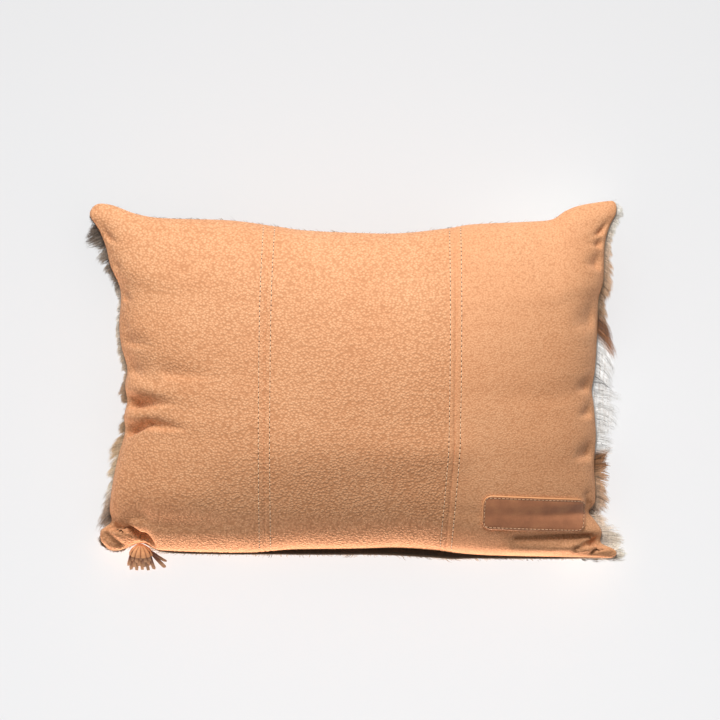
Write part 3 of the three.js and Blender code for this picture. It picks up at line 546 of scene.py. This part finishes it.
def smooth_hide():
    """Brown saddle hide: smooth and waxed, with a fine pore grain, soft clouds, and a pale cut edge whose
    paleness is partly painted highlight along its rounding.
    """
    material, tree = new_material("waxed_brown_hide")
    place = add_node(tree, "ShaderNodeTexCoord").outputs["Object"]
    pores = add_node(tree, "ShaderNodeTexVoronoi", {"Vector": place}, Scale=700)
    cloud = add_node(tree, "ShaderNodeTexNoise", {"Vector": place}, Scale=60, Detail=5, Roughness=0.6)
    clouds = [(0.3, "ae7250"), (0.5, "bc7c57"), (0.72, "ca8a60")]
    waxed = add_node(tree, "ShaderNodeValToRGB", {"Fac": cloud.outputs[0]}, stops=clouds).outputs[0]
    # The tint paints a pale rim in the last mm: the cut edge's own colour, and painted highlight on its
    # rounding
    cut_edge_highlight = add_node(tree, "ShaderNodeAttribute", attribute_name="tint").outputs["Fac"]
    edge = {7: (*linear("e2a672"), 1)}
    colour = add_node(tree, "ShaderNodeMix", {0: cut_edge_highlight, 6: waxed}, edge, **MIX_COLOURS)
    bumped_surface(tree, colour.outputs[2], pores.outputs[0], 0.3, 0.0003, Roughness=0.5, IOR=1.5)
    return material


def strip_leather():
    """Tan nubuck of the tassel: buffed; its colour is the mesh's tint, with painted shade towards the strips'
    roots and in the bell's pleats, and painted light towards the tips and on the pleats' ridges.
    """
    material, tree = new_material("cut_tan_nubuck")
    place = add_node(tree, "ShaderNodeTexCoord").outputs["Object"]
    cloud = add_node(tree, "ShaderNodeTexNoise", {"Vector": place}, Scale=260, Detail=4).outputs[0]
    tint = add_node(tree, "ShaderNodeAttribute", attribute_name="tint").outputs["Color"]
    rubbed = [(0.3, "d9cabd"), (0.65, "ffffff")]
    shade = add_node(tree, "ShaderNodeValToRGB", {"Fac": cloud}, stops=rubbed).outputs[0]
    colour = add_node(tree, "ShaderNodeMix", {6: tint, 7: shade}, {0: 0.6}, **MULTIPLY).outputs[2]
    bumped_surface(tree, colour, cloud, 0.4, 0.0004, Roughness=0.75, Sheen_Weight=0.15)
    return material


def tinted(name, roughness, sheen, streak):
    """A material that takes its colour from the mesh's tint, varied by a noise drawn out along the hair."""
    material, tree = new_material(name)
    place = add_node(tree, "ShaderNodeTexCoord").outputs["Object"]
    long = (streak, streak / 8, streak)
    drawn = add_node(tree, "ShaderNodeMapping", {"Vector": place}, Scale=long).outputs[0]
    streaks = add_node(tree, "ShaderNodeTexNoise", {"Vector": drawn}, Scale=1, Detail=4, Roughness=0.6)
    tint = add_node(tree, "ShaderNodeAttribute", attribute_name="tint").outputs["Color"]
    dim = [(0.3, "b8ab9e"), (0.6, "ffffff")]
    shade = add_node(tree, "ShaderNodeValToRGB", {"Fac": streaks.outputs[0]}, stops=dim).outputs[0]
    colour = add_node(tree, "ShaderNodeMix", {6: tint, 7: shade}, {0: 0.7}, **MULTIPLY).outputs[2]
    finish = {"Roughness": roughness, "Sheen_Weight": sheen}
    bumped_surface(tree, colour, streaks.outputs[0], 0.5, 0.0006, **finish)
    return material


NUBUCK = nubuck_leather()
BROWN_HIDE = smooth_hide()
STRIP = strip_leather()
HAIR = tinted("springbok_hair", 0.6, 0.15, 500)
PELT = tinted("springbok_pelt", 0.85, 0.1, 420)
THREAD = tinted("waxed_linen_thread", 0.55, 0.1, 900)


# ---------------- the cover

# Rolled sewn edge: how far out and how far down from the face's rim each of its rings lies
ROLLED_EDGE = [(0.5, 0.5), (0.6, 1.3), (0.3, 2.1), (0, EDGE_THICKNESS)]
# Steps of the face's grid across an outer panel, the middle one, and the two sides of a stitch row: how far,
# then the first, the largest and the last step
OUTER_STEPS, MIDDLE_STEPS = (157, 0.15, 2.1, 0.7), (196, 0.7, 3.4, 0.7)
ROW_STEPS = [(STITCH_ROW, 0.7, 0.9, 0.4), (STITCH_ROW, 0.4, 0.9, 0.7)]
# Thread of a stitch: its share of the pitch, its radius, its arch, and how deep its ends sink
THREAD_SHARE, THREAD_RADIUS, THREAD_RISE, THREAD_SUNK = 0.72, 0.46, 0.55, 0.12


def leather_cover():
    """The filled leather cover: a fine grid for the face, whose columns follow the edges, the seams and the
    stitch rows, then a rolled sewn edge, then rings that close the underside inside the hide."""
    q = 2 * graded(2 * HALF_HEIGHT, 0.15, 1.9, 0.15) - 1
    up = q * HALF_HEIGHT
    low, high = left_edge(up), right_edge(up)
    rails = [low]
    for seam in (left_seam(up), right_seam(up)):
        rails += [seam - STITCH_ROW, seam, seam + STITCH_ROW]
    rails.append(high)
    panels = [OUTER_STEPS, *ROW_STEPS, MIDDLE_STEPS, *ROW_STEPS, (OUTER_STEPS[0], *OUTER_STEPS[:0:-1])]
    columns = []
    for k, panel in enumerate(panels):
        shares = graded(*panel)[(1 if k else 0) :]
        columns.append(rails[k][:, None] + shares * (rails[k + 1] - rails[k])[:, None])
    x = np.concatenate(columns, axis=1)
    p = np.clip(2 * (x - low[:, None]) / (high - low)[:, None] - 1, -1, 1)
    q = np.broadcast_to(q[:, None], p.shape)
    grid, _ = face(p, q)
    rim_p, rim_q = rim_of(p), rim_of(q)
    rim = rim_of(grid)
    out = unit(rim - np.roll(rim, 1, axis=0)) + unit(np.roll(rim, -1, axis=0) - rim)
    out = unit(np.stack([out[:, 1], -out[:, 0], np.zeros(len(out))], axis=-1))
    down = np.array([0, 0, -1.0])
    rings = [rim + outward * out + downward * down for outward, downward in ROLLED_EDGE]
    rings += [dish(s * rim_p, s * rim_q, PIECE_GAP) for s in RING_SHARES]
    points, quads, triangles = closed_body(grid, rings, dish(np.zeros(1), np.zeros(1), PIECE_GAP))
    return put_mesh("tan_nubuck_face", points, quads, triangles, NUBUCK)


def stitches(name, at, along, normal, pitch, thread, hole, hole_size):
    """Topstitches: at each point a thread arches over the leather for its share of the pitch, and between it
    and the next one a dark disc lies at the needle hole: painted shade in the hole."""
    t = np.linspace(-1, 1, 5)[:, None]
    rise = THREAD_RISE * (1 - t**2) - THREAD_SUNK
    paths = at[:, None] + along[:, None] * (THREAD_SHARE / 2 * pitch * t) + normal[:, None] * rise
    radii = THREAD_RADIUS * np.sqrt(1 - 0.55 * t[:, 0] ** 2)
    side = np.cross(normal, along)
    points, quads, triangles = tubes(paths, radii, 6, side)
    # The needle hole: a dark disc just over the leather, whose colour is painted shade
    middle = at + along * pitch / 2 + normal * 0.1
    turn = np.arange(8) * np.pi / 4
    ring = middle[:, None] + hole_size * (
        along[:, None] * np.cos(turn)[None, :, None] + side[:, None] * np.sin(turn)[None, :, None]
    )
    discs = np.concatenate([ring, middle[:, None] - 0.04 * normal[:, None]], axis=1)
    fan = np.stack([np.full(8, 8), np.arange(8), (np.arange(8) + 1) % 8], axis=-1)
    fans = (fan[None] + (np.arange(len(at)) * 9)[:, None, None]).reshape(-1, 3) + len(points)
    discs = discs.reshape(-1, 3)
    tint = np.repeat([linear(thread), linear(hole)], [len(points), len(discs)], axis=0)
    points = np.concatenate([points, discs])
    return put_mesh(name, points, quads, np.concatenate([triangles, fans]), THREAD, tint=tint)


def seam_topstitching():
    """Two rows of topstitches beside each seam, a stitch row's distance from it, from edge to edge."""
    at, along, normal = [], [], []
    for seam in (left_seam, right_seam):
        for side in (-1, 1):
            y = np.linspace(-200, 200, 4001)
            x = seam(y) + side * STITCH_ROW
            p, q = place_of(x, y)
            keep = np.abs(q) < 0.985
            points, up = face(p[keep], q[keep])
            length = length_along(points)
            marks = np.arange(STITCH_PITCH / 2, length[-1], STITCH_PITCH)
            at.append(looked_up(marks, length, points))
            along.append(unit(looked_up(marks + 1, length, points) - at[-1]))
            normal.append(looked_up(marks, length, up))
    args = [np.concatenate(part) for part in (at, along, normal)]
    # The second colour is the painted shade in the needle holes
    return stitches("seam_topstitching", *args, STITCH_PITCH, "ffdcb4", "54301a", 0.85)


def patch_place(a, b):
    """A point of the patch, a along and b up from its middle, as a plan position on the face; the square's
    corners are drawn in to quarter discs."""
    half = (PATCH["width"] / 2, PATCH["height"] / 2)
    size = PATCH["corner"]
    in_a = np.clip((np.abs(a) - half[0]) / size + 1, 0, 1)
    in_b = np.clip((np.abs(b) - half[1]) / size + 1, 0, 1)
    flat_a = a + np.sign(a) * size * in_a * (np.sqrt(1 - in_b**2 / 2) - 1)
    flat_b = b + np.sign(b) * size * in_b * (np.sqrt(1 - in_a**2 / 2) - 1)
    cos, sin = math.cos(PATCH["turn"]), math.sin(PATCH["turn"])
    x = PATCH["centre"][0] + flat_a * cos - flat_b * sin
    y = PATCH["centre"][1] + flat_a * sin + flat_b * cos
    return face(*place_of(x, y))


def leather_patch():
    """The patch: its top is the face lifted by the leather's thickness, rounded in the last 1 mm, with a
    shallow bell-shaped channel where its thread runs; its underside closes it just above the face."""
    a = (2 * graded(PATCH["width"], 0.35, 1.6, 0.35) - 1) * PATCH["width"] / 2
    b = (2 * graded(PATCH["height"], 0.35, 1.3, 0.35) - 1) * PATCH["height"] / 2
    a, b = np.meshgrid(a, b)
    at, normal = patch_place(a, b)
    inset = np.minimum(PATCH["width"] / 2 - np.abs(a), PATCH["height"] / 2 - np.abs(b))
    round_over = np.sqrt(np.clip(1 - (1 - np.clip(inset, 0, 1)) ** 2, 0, 1))
    channel = 0.4 * np.exp(-(((inset - PATCH["row"]) / 0.7) ** 2))
    lift = PATCH_LIFT + PATCH["side"] + (PATCH["thick"] - PATCH["side"]) * round_over - channel
    top = at + normal * lift[..., None]
    bottom = at + normal * PATCH_LIFT
    rim = rim_of(bottom)
    centre, _ = patch_place(np.zeros(1), np.zeros(1))
    inner = [centre[0] + (rim - centre[0]) * s for s in (0.9, 0.6, 0.3)]
    for ring in inner:
        on_face, up = face(*place_of(ring[:, 0], ring[:, 1]))
        ring[:] = on_face + up * PATCH_LIFT
    on_face, up = face(*place_of(*np.array(PATCH["centre"])[:, None]))
    points, quads, triangles = closed_body(top, [rim, *inner], on_face + up * PATCH_LIFT)
    # Pale rim in the last mm of the top: the cut edge's colour, and painted highlight along the rounding
    cut_edge_highlight = np.concatenate([1 - ease((inset.ravel() - 0.35) / 0.7), np.ones(len(points) - inset.size)])
    tint = np.repeat(cut_edge_highlight[:, None], 3, axis=1)
    return put_mesh("stitched_brown_patch", points, quads, triangles, BROWN_HIDE, tint=tint)


def patch_stitching():
    """A row of stitches round the patch, inside its edge, spaced evenly along that line."""
    half = np.array([PATCH["width"] / 2, PATCH["height"] / 2]) - PATCH["row"]
    t = np.linspace(-1, 1, 200)[:-1]
    one = np.ones_like(t)
    a = np.concatenate([t * half[0], one * half[0], -t * half[0], -one * half[0]])
    b = np.concatenate([-one * half[1], t * half[1], one * half[1], -t * half[1]])
    at, normal = patch_place(a, b)
    at = at + normal * (PATCH_LIFT + PATCH["thick"] - 0.3)
    closed = np.concatenate([at, at[:1]])
    length = length_along(closed)
    count = round(length[-1] / PATCH["pitch"])
    pitch = length[-1] / count
    marks = (np.arange(count) + 0.5) * pitch
    place = looked_up(marks, length, closed)
    along = unit(looked_up(marks + 0.8, length, closed) - place)
    normal = looked_up(marks, length, np.concatenate([normal, normal[:1]]))
    # The second colour is the painted shade in the needle holes
    return stitches("patch_stitching", place, along, normal, pitch, "dcb48c", "3c2217", 0.5)


# ---------------- the hide


def waves(x, y, size, seed):
    """A smooth random field between about -1 and 1: six plane waves of that length at odd angles."""
    local = np.random.default_rng(seed)
    total = 0
    for angle, phase, stretch in local.random((6, 3)):
        turn = angle * 2 * np.pi
        total = total + np.sin((x * np.cos(turn) + y * np.sin(turn)) / (size * (0.6 + stretch)) + phase * 7)
    return total / 2.6


def colour_table(rows, up):
    at = [row[0] for row in rows]
    return looked_up(up, at, np.array([linear(row[1]) for row in rows]))


def hide_colour(x, y):
    """Colour of the hair at a plan position: the tables of the two ends and the middle, blended across, with
    their bands bent by slow waves, and painted shadow along the bottom edge, where the cover shades the hide."""
    up = y + 5 * waves(x, y, 14, 1)
    right = ease((x + 14 * waves(x, y, 30, 2) - 60) / 190)[:, None]
    left = ease((-x + 14 * waves(x, y, 30, 3) - 60) / 190)[:, None]
    middle = colour_table(MIDDLE_HAIR, up + 25 * waves(x, y, 60, 4))
    colour = middle * (1 - right) * (1 - left)
    colour = colour + colour_table(RIGHT_HAIR, up) * right + colour_table(LEFT_HAIR, up) * left
    # Painted shadow: the hair under the bottom edge turns dark brown
    shadow_under_bottom_edge = ease((-y - 170 + 6 * waves(x, y, 20, 6)) / 12) * ease((240 - np.abs(x - 10)) / 25)
    return colour + (linear("4a392b") - colour) * (0.85 * shadow_under_bottom_edge)[:, None]


hide_reach = curve_through(HIDE_REACH)
REACH_SCALE = 0.93  # the cover's bottom edge is this much shorter than the table's width
# Painted shade: the skin takes the hair's colour darkened, for the shade deep in the coat
SKIN_PAINTED_SHADE = 0.62  # the skin between the hairs is darker than they are
HAIR_FLOOR = 0.3  # no hair goes below this height
LONGEST_HAIR = 46


def skin(p, q, inset=3.0):
    """Skin of the hide under its hair: it bulges from the sewn edge down to the level that it lies on."""
    x, y = plan(p, q, left=1.0, right=2.0, top=-0.6, bottom=hide_reach(REACH_SCALE * HALF_WIDTH * p))
    rim = seam_height(p, q) - EDGE_THICKNESS - SHOULDER
    z = rim - (BACK_DEPTH - inset) * fullness(p, q, BACK_FILL)
    return np.stack([x, y, np.maximum(z, inset)], axis=-1)


def skin_normal(p, q):
    """Outward normal of the skin, which is down."""
    return -surface_normal(lambda a, b: skin(a, b, 0), p, q, HIDE_STEP)[1]


def pelt():
    """The hide without its long hair: the skin outside, lumped by waves, and the hollow for the filling."""
    share = graded(2, 0.004, 0.03, 0.004)
    p, q = np.meshgrid(2 * share - 1, 2 * share - 1)
    grid = skin(p, q)
    lump = 0.8 * waves(grid[..., 0], grid[..., 1], 7, 5) * ease((grid[..., 2] - 3) / 8)
    grid = grid + skin_normal(p, q) * (lump * ease((1 - np.maximum(np.abs(p), np.abs(q))) * 20))[..., None]
    rim_p, rim_q = rim_of(p), rim_of(q)
    edge = np.stack([*plan(rim_p, rim_q), seam_height(rim_p, rim_q) - EDGE_THICKNESS - PIECE_GAP], axis=-1)
    rings = [edge] + [dish(s * rim_p, s * rim_q, 0) for s in RING_SHARES]
    points, quads, triangles = closed_body(grid, rings, dish(np.zeros(1), np.zeros(1), 0), down=True)
    # The skin's colour is the hair's, darkened as painted shade
    tint = SKIN_PAINTED_SHADE * hide_colour(points[:, 0], points[:, 1])
    return put_mesh("springbok_pelt", points, quads, triangles, PELT, tint=tint)


def hairs(name, root, control, tip, facing, width, tint, tip_tint):
    """Hairs as flat blades: each follows the quadratic curve from its root through its control point to its
    tip, has seven corners, and narrows to a point. Its flat side looks roughly the way that the coat faces,
    and is shaded as the coat is. No corner goes below the surface under the cushion."""
    wide = np.cross(tip - root, facing + 0.45 * rng.normal(0, 1, (len(root), 3)))
    t = np.array([0, 0.4, 0.75, 1.0])[None, :, None]
    path = quadratic(root, control, tip, t)
    half = width[:, None, None] * np.array([0.5, 0.45, 0.3])[None, :, None] * unit(wide)[:, None]
    points = np.concatenate([path[:, :3] - half, path[:, :3] + half, path[:, 3:]], axis=1)
    points[..., 2] = np.maximum(points[..., 2], HAIR_FLOOR)
    fade = np.array([0, 0.35, 0.7, 0, 0.35, 0.7, 1])[None, :, None]
    colour = tint[:, None] * (1 - fade) + tip_tint[:, None] * fade
    offset = (np.arange(len(root)) * 7)[:, None, None]
    quads = (np.array([[0, 3, 4, 1], [1, 4, 5, 2]])[None] + offset).reshape(-1, 4)
    triangles = (np.array([[2, 5, 6]])[None] + offset).reshape(-1, 3)
    coat = unit(facing + 0.28 * rng.normal(0, 1, (len(root), 3)))
    normals = np.repeat(coat, 7, axis=0)
    points, colour = points.reshape(-1, 3), colour.reshape(-1, 3)
    return put_mesh(name, points, quads, triangles, HAIR, tint=colour, normals=normals)


def hair_tints(root, count, dark_share):
    """Colours at the root and the tip of each hair: the hide's, lighter or darker at random, a few dark. The
    root is darkened as painted shade deep in the coat, and the tip is a little paler.
    """
    colour = hide_colour(root[:, 0], root[:, 1])
    pale = np.mean(colour, axis=1, keepdims=True)
    colour = colour * (0.72 + 0.2 * pale + (0.5 - 0.3 * pale) * rng.random((count, 1)))
    dark = rng.random((count, 1)) < dark_share * (1 - 0.8 * pale)
    colour = np.where(dark, linear(DARK_HAIR) * (0.8 + 1.2 * rng.random((count, 1))), colour)
    light = np.mean(colour, axis=1, keepdims=True)
    # Painted shade: the root takes 0.48 to 0.9 of the colour, darker hairs the most
    return colour * (0.48 + 0.42 * light), np.clip(colour * 1.08 + 0.02, 0, 0.92)


def end_hair(name, side, reach, lean, count, tufts):
    """Hair round one end of the hide. Tufts stand along the side and down the wall under the sewn edge; each
    hair roots near its tuft's middle, leans out and down the cover, and draws in to the tuft's own tip."""
    reach, lean = curve_through(reach), curve_through(lean)
    tuft_q = rng.uniform(-1, 1, tufts)
    tuft_u = rng.random(tufts) ** 1.3
    tuft_turn = rng.normal(0, 0.3, tufts)
    tuft_long = rng.uniform(0.6, 1.12, tufts)

    def lay(q, u, turn, long):
        q = np.clip(q, -1, 1)
        p = side * (1 - 0.15 * np.clip(u, 0, 1) ** 1.4)
        root, normal, up = skin(p, q), skin_normal(p, q), q * HALF_HEIGHT
        fall = lean(up) + turn
        slope = np.stack([np.full_like(q, side), -fall, -0.15 - 0.5 * np.clip(u, 0, 1)], axis=-1)
        direction = unit(unit(slope) + 0.35 * normal)
        length = (1 + reach(up)) * long / np.maximum(0.34, np.abs(direction[:, 0]))
        length = np.minimum(length, LONGEST_HAIR) * (1 - 0.25 * np.clip(u, 0, 1))
        return root, normal, direction, length

    own = rng.integers(0, tufts, count)
    q = tuft_q[own] + rng.normal(0, 2.6, count) / HALF_HEIGHT
    u = tuft_u[own] + rng.normal(0, 0.09, count)
    turn = tuft_turn[own] + rng.normal(0, 0.28, count)
    long = tuft_long[own] * (0.3 + 0.85 * rng.random(count) ** 1.8)
    root, normal, direction, length = lay(q, u, turn, long)
    tuft_root, _, tuft_direction, tuft_length = lay(tuft_q, tuft_u, tuft_turn, tuft_long)
    tip = root + direction * length[:, None]
    target = (tuft_root + tuft_direction * tuft_length[:, None])[own]
    draw = rng.uniform(0.25, 0.7, (count, 1))
    tip = tip * (1 - draw) + target * draw
    tip[:, 1] -= 0.15 * length * rng.random(count)
    curl = rng.normal(0, 0.12, (count, 3))
    control = root + (direction * 0.5 + 0.3 * normal + curl) * length[:, None] * 0.8
    facing = unit(0.5 * normal + np.array([0, 0.15, 0.75]))
    tint, tip_tint = hair_tints(root, count, 0.06)
    width = rng.uniform(0.34, 0.6, count)
    return hairs(name, root - 1.5 * normal, control, tip, facing, width, tint, tip_tint)


def long_edge_hair(name, end, count):
    """Hair down the wall under a long edge: it lies along the cover and stands out only a little."""
    p = rng.uniform(-0.985, 0.985, count)
    u = rng.random(count) ** 1.1
    q = end * (1 - 0.2 * u**1.4)
    root, normal = skin(p, q), skin_normal(p, q)
    across = 0.5 * (np.sign(p) + waves(root[:, 0], root[:, 1], 25, 8))
    flow = np.stack([across, np.full(count, -0.1), np.full(count, -0.9)], axis=-1)
    flow = unit(flow - normal * np.sum(flow * normal, axis=1, keepdims=True))
    direction = unit(flow + normal * rng.uniform(0.05, 0.28, (count, 1)) + rng.normal(0, 0.12, (count, 3)))
    length = rng.uniform(7, 14, count)
    tip = root + direction * length[:, None]
    control = root + (direction + 0.35 * normal) * length[:, None] * 0.45
    facing = unit(normal + np.array([0, 0, 0.4]))
    tint, tip_tint = hair_tints(root, count, 0.04)
    width = rng.uniform(0.4, 0.7, count)
    return hairs(name, root - 1.2 * normal, control, tip, facing, width, tint, tip_tint)


def pressed_hair(name, count):
    """Hair of the underside, pressed level: it lies down the cover in a slow swirl, in the last 2 mm."""
    p, q = rng.uniform(-0.87, 0.87, count), rng.uniform(-0.82, 0.82, count)
    root = skin(p, q)
    swirl = 0.55 * waves(root[:, 0], root[:, 1], 70, 9) + 0.12 * rng.normal(0, 1, count)
    direction = np.stack([np.sin(swirl), -np.cos(swirl), np.zeros(count)], axis=-1)
    length = rng.uniform(14, 24, count)
    low = rng.uniform(0.4, 1.9, count)
    tip = root + direction * length[:, None]
    tip[:, 2] = np.where(root[:, 2] < 4, low, root[:, 2] - 1.5)
    control = root + direction * length[:, None] * 0.5
    control[:, 2] = tip[:, 2] + 0.3
    facing = np.broadcast_to(np.array([0, 0, -2.0]), root.shape)
    tint, tip_tint = hair_tints(root, count, 0.05)
    return hairs(name, root, control, tip, facing, rng.uniform(0.8, 1.3, count), tint, tip_tint)


# ---------------- the tassel

TASSEL_TOP = np.array([-237.5, -185.0, 43.3])
TASSEL_AXIS = unit(np.array([-0.02, -0.75, -0.66]))
# Bell of the tassel: how far along, its half width, its half thickness
TASSEL_HEAD = [(0, 4.2, 2.6), (2, 6.4, 3.6), (5, 9.4, 5.2), (8.5, 11.4, 6.4), (13, 13.0, 7.0)]
# Strips: root across, root above the bell's middle, then where the tip lies
STRIPS = [
    (-8.0, 3.2, -247.5, -202.5, 25.5), (-4.0, 3.6, -243.0, -204.5, 24.0), (0.2, 3.8, -238.0, -202.0, 26.0),
    (4.2, 3.6, -233.2, -204.0, 24.5), (8.2, 3.0, -228.2, -202.5, 25.0),
    (-9.6, 0.0, -252.5, -208.0, 14.5), (-6.0, -0.2, -246.5, -209.8, 12.5), (-2.0, 0.0, -240.8, -208.5, 14.0),
    (2.2, 0.0, -235.0, -209.6, 12.0), (6.2, -0.2, -229.6, -208.0, 14.0), (9.8, 0.3, -211.2, -203.6, 15.0),
    (-8.4, -3.2, -250.5, -213.0, 2.2), (-4.2, -3.6, -244.0, -213.8, 2.0), (0.0, -3.8, -237.6, -213.2, 2.4),
    (4.2, -3.6, -231.0, -213.8, 2.0), (8.4, -3.0, -224.5, -212.6, 2.2), (10.2, -1.6, -212.4, -210.6, 6.0),
]
STRIP_SIZE, STRIP_SIDES = (2.5, 1.5), 4


def tassel():
    """The tassel: a flattened bell, its half width and thickness smooth curves along its axis, fluted towards
    its open rim, and cut strips in three layers. A strip follows the quadratic curve from its root, out and
    level at first, then down to its tip, with a section between a round and a square one."""
    sideways = unit(np.cross([0, 0, 1.0], TASSEL_AXIS))
    upwards = np.cross(TASSEL_AXIS, sideways)
    head_long = TASSEL_HEAD[-1][0]
    half_wide = curve_through([(row[0], row[1]) for row in TASSEL_HEAD])
    half_thick = curve_through([(row[0], row[2]) for row in TASSEL_HEAD])
    along = np.linspace(0, head_long, 18)
    turn = np.linspace(0, 2 * np.pi, 97)[:-1]
    pleat = np.abs(np.sin(6 * turn))[None] ** 0.4
    flute = 1.05 - 0.12 * (1 - pleat) * ease(along / 6)[:, None]
    shell = TASSEL_TOP + TASSEL_AXIS * along[:, None, None]
    shell = shell + (half_wide(along)[:, None] * flute * np.cos(turn))[..., None] * sideways
    shell = shell + (half_thick(along)[:, None] * flute * np.sin(turn))[..., None] * upwards
    quads, triangles = tube_faces(len(along), len(turn))
    inside = TASSEL_TOP + (head_long - 3) * TASSEL_AXIS
    # Painted shade in the pleats' valleys and painted highlight on their ridges
    pleat_ridge_highlight = (pleat * np.ones((len(along), 1)))[..., None]
    tints = [(linear("9a5c36") * (1 - pleat_ridge_highlight) + linear("e6a876") * pleat_ridge_highlight).reshape(-1, 3)]
    tints += [np.tile(linear("b47a50"), (2, 1))]

    strips = np.array(STRIPS)
    start = TASSEL_TOP + TASSEL_AXIS * (head_long - 4) + strips[:, :1] * np.array([1.0, 0, 0])
    start = start + strips[:, 1:2] * np.array([0, 0, 1.0])
    tip = strips[:, 2:5]
    middle = 0.45 * start + 0.55 * tip
    middle[:, 2] = start[:, 2] - 0.12 * (start[:, 2] - tip[:, 2])
    t = np.linspace(0, 1, 14)[None, :, None]
    path = quadratic(start, middle, tip, t)
    t = t[0, :, 0]
    radii = STRIP_SIZE[0] * np.where(t > 0.985, 0.86, 1.0)
    across = strips[:, 0]
    wide = np.stack([np.ones(len(strips)), 0.25 * np.sin(5 * across), 0.3 * np.sin(3 * across)], axis=-1)
    body, faces, caps = tubes(path, radii, STRIP_SIDES, unit(wide), squash=STRIP_SIZE[1] / STRIP_SIZE[0])
    body[:, 2] = np.maximum(body[:, 2], 0.4)
    # Painted shade towards each strip's root under the bell, and painted light towards its pale tip
    pale = np.concatenate([np.repeat(ease((t - 0.3) / 0.7), STRIP_SIDES), [0, 1]])[None, :, None]
    pale = pale * np.ones((len(strips), 1, 1))
    shade = 0.6 + 0.45 * np.abs(np.sin(7 * across + 3 * strips[:, 1]))[:, None, None]
    tints.append(((linear("7c4526") * (1 - pale) + linear("f2b27c") * pale) * shade).reshape(-1, 3))
    points = np.concatenate([shell.reshape(-1, 3), [TASSEL_TOP - 0.6 * TASSEL_AXIS, inside], body])
    before = len(points) - len(body)
    quads = np.concatenate([quads, faces + before])
    triangles = np.concatenate([triangles, caps + before])
    tints = np.concatenate(tints)
    return put_mesh("cut_leather_tassel", points, quads, triangles, STRIP, tint=tints, smooth=False)


# ---------------- assembly

cover = leather_cover()
topstitching = seam_topstitching()
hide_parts("filled_leather_cover")
for piece in (cover, topstitching):
    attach(piece, "root")

patch = leather_patch()
patch_thread = patch_stitching()
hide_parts("leather_patch")
for piece in (patch, patch_thread):
    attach(piece, "root")

hide = pelt()
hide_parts("springbok_hide_back")
bottom_hair = long_edge_hair("hair_under_the_bottom_edge", -1, count=22000)
hair_pieces = [
    hide,
    end_hair("hair_of_the_left_end", -1, LEFT_REACH, LEFT_LEAN, count=34000, tufts=420),
    end_hair("hair_of_the_right_end", 1, RIGHT_REACH, RIGHT_LEAN, count=38000, tufts=460),
    long_edge_hair("hair_under_the_top_edge", 1, count=22000),
    bottom_hair,
    pressed_hair("hair_of_the_underside", count=36000),
]
for piece in hair_pieces:
    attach(piece, "root")
    piece.visible_shadow = piece is hide

pull = tassel()
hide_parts("pull_tassel")
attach(pull, "root")


# ---------------- floor, light, camera

FLOOR_HALF, WORLD_STRENGTH = 4000.0, 0.2

floor_points = FLOOR_HALF * np.array([[-1, -1, 0], [1, -1, 0], [1, 1, 0], [-1, 1, 0]])
floor_material, floor_tree = new_material("pale_floor")
matt = {"Base_Color": "e6e6e7", "Roughness": 0.95, "IOR": 1.1}
floor_shader = add_node(floor_tree, "ShaderNodeBsdfPrincipled", **matt).outputs[0]
add_node(floor_tree, "ShaderNodeOutputMaterial", {"Surface": floor_shader})
floor = put_mesh("floor", floor_points, [[0, 1, 2, 3]], material=floor_material, smooth=False)

world = bpy.data.worlds.new("studio")
world.use_nodes = True
background = world.node_tree.nodes["Background"]
background.inputs["Color"].default_value = (*linear("ffffff"), 1)
background.inputs["Strength"].default_value = WORLD_STRENGTH
bpy.context.scene.world = world
bpy.context.scene.view_settings.view_transform = "Standard"


def group_of(name, objects):
    """A collection outside the scene that only says which objects a light reaches."""
    group = bpy.data.collections.new(name)
    for obj in objects:
        group.objects.link(obj)
    return group


def soft_light(name, place, target, wide, high, power, lit, colour="ffffff"):
    """A soft box of that width, height and colour that faces the target, and reaches, and is blocked by, only
    the objects in lit."""
    light = bpy.data.lights.new(name, "AREA")
    light.shape = "RECTANGLE"
    light.size, light.size_y = wide, high
    light.energy = power
    light.color = linear(colour)
    obj = bpy.data.objects.new(name, light)
    bpy.context.scene.collection.objects.link(obj)
    obj.location = place
    obj.rotation_mode = "QUATERNION"
    obj.rotation_quaternion = (Vector(target) - Vector(place)).to_track_quat("-Z", "Y")
    obj.visible_camera = False
    obj.light_linking.receiver_collection = lit
    obj.light_linking.blocker_collection = lit


leather_pieces = [cover, topstitching, patch, patch_thread]
lit_cushion = group_of("lit_cushion", [*leather_pieces, pull, *hair_pieces])
lit_leather = group_of("lit_leather", leather_pieces)
lit_low = group_of("lit_low", [*leather_pieces, hide, bottom_hair])
lit_floor = group_of("lit_floor", [floor])
lit_tassel = group_of("lit_tassel", [pull])
soft_light("key_light", (-0.1, 1.56, 1.84), (0, 0, 0.06), 1.1, 0.9, 70, lit_cushion)
soft_light("low_fill", (-0.1, -0.75, -0.4), (-0.05, -0.19, 0.06), 1.4, 0.3, 24, lit_low, "ffdcc0")
soft_light("side_fill", (-1.5, -1.0, 0.25), (-0.18, -0.14, 0.09), 0.8, 0.5, 5, lit_leather, "fff0e2")
soft_light("tassel_light", (-0.5, -0.35, 1.1), (-0.237, -0.2, 0.02), 0.3, 0.3, 6, lit_tassel, "fff0e2")
soft_light("floor_light", (0, -0.4, 3.2), (0, -0.4, 0), 3.0, 3.0, 122, lit_floor)

# Metres: the camera's height over the sewn edge, its place in plan, and the width that its picture takes in
CAMERA_DISTANCE, CAMERA_PLAN, FRAME_WIDTH = 5.0, (0.0067, 0.0216), 0.7992
SENSOR_WIDTH = 36
camera_data = bpy.data.cameras.new("camera")
camera_data.sensor_width = SENSOR_WIDTH
camera_data.lens = SENSOR_WIDTH * CAMERA_DISTANCE / FRAME_WIDTH
camera_data.clip_end = 50
camera = bpy.data.objects.new("camera", camera_data)
bpy.context.scene.collection.objects.link(camera)
camera.location = (*CAMERA_PLAN, CAMERA_DISTANCE + SEAM_HEIGHT * MM)
bpy.context.scene.camera = camera
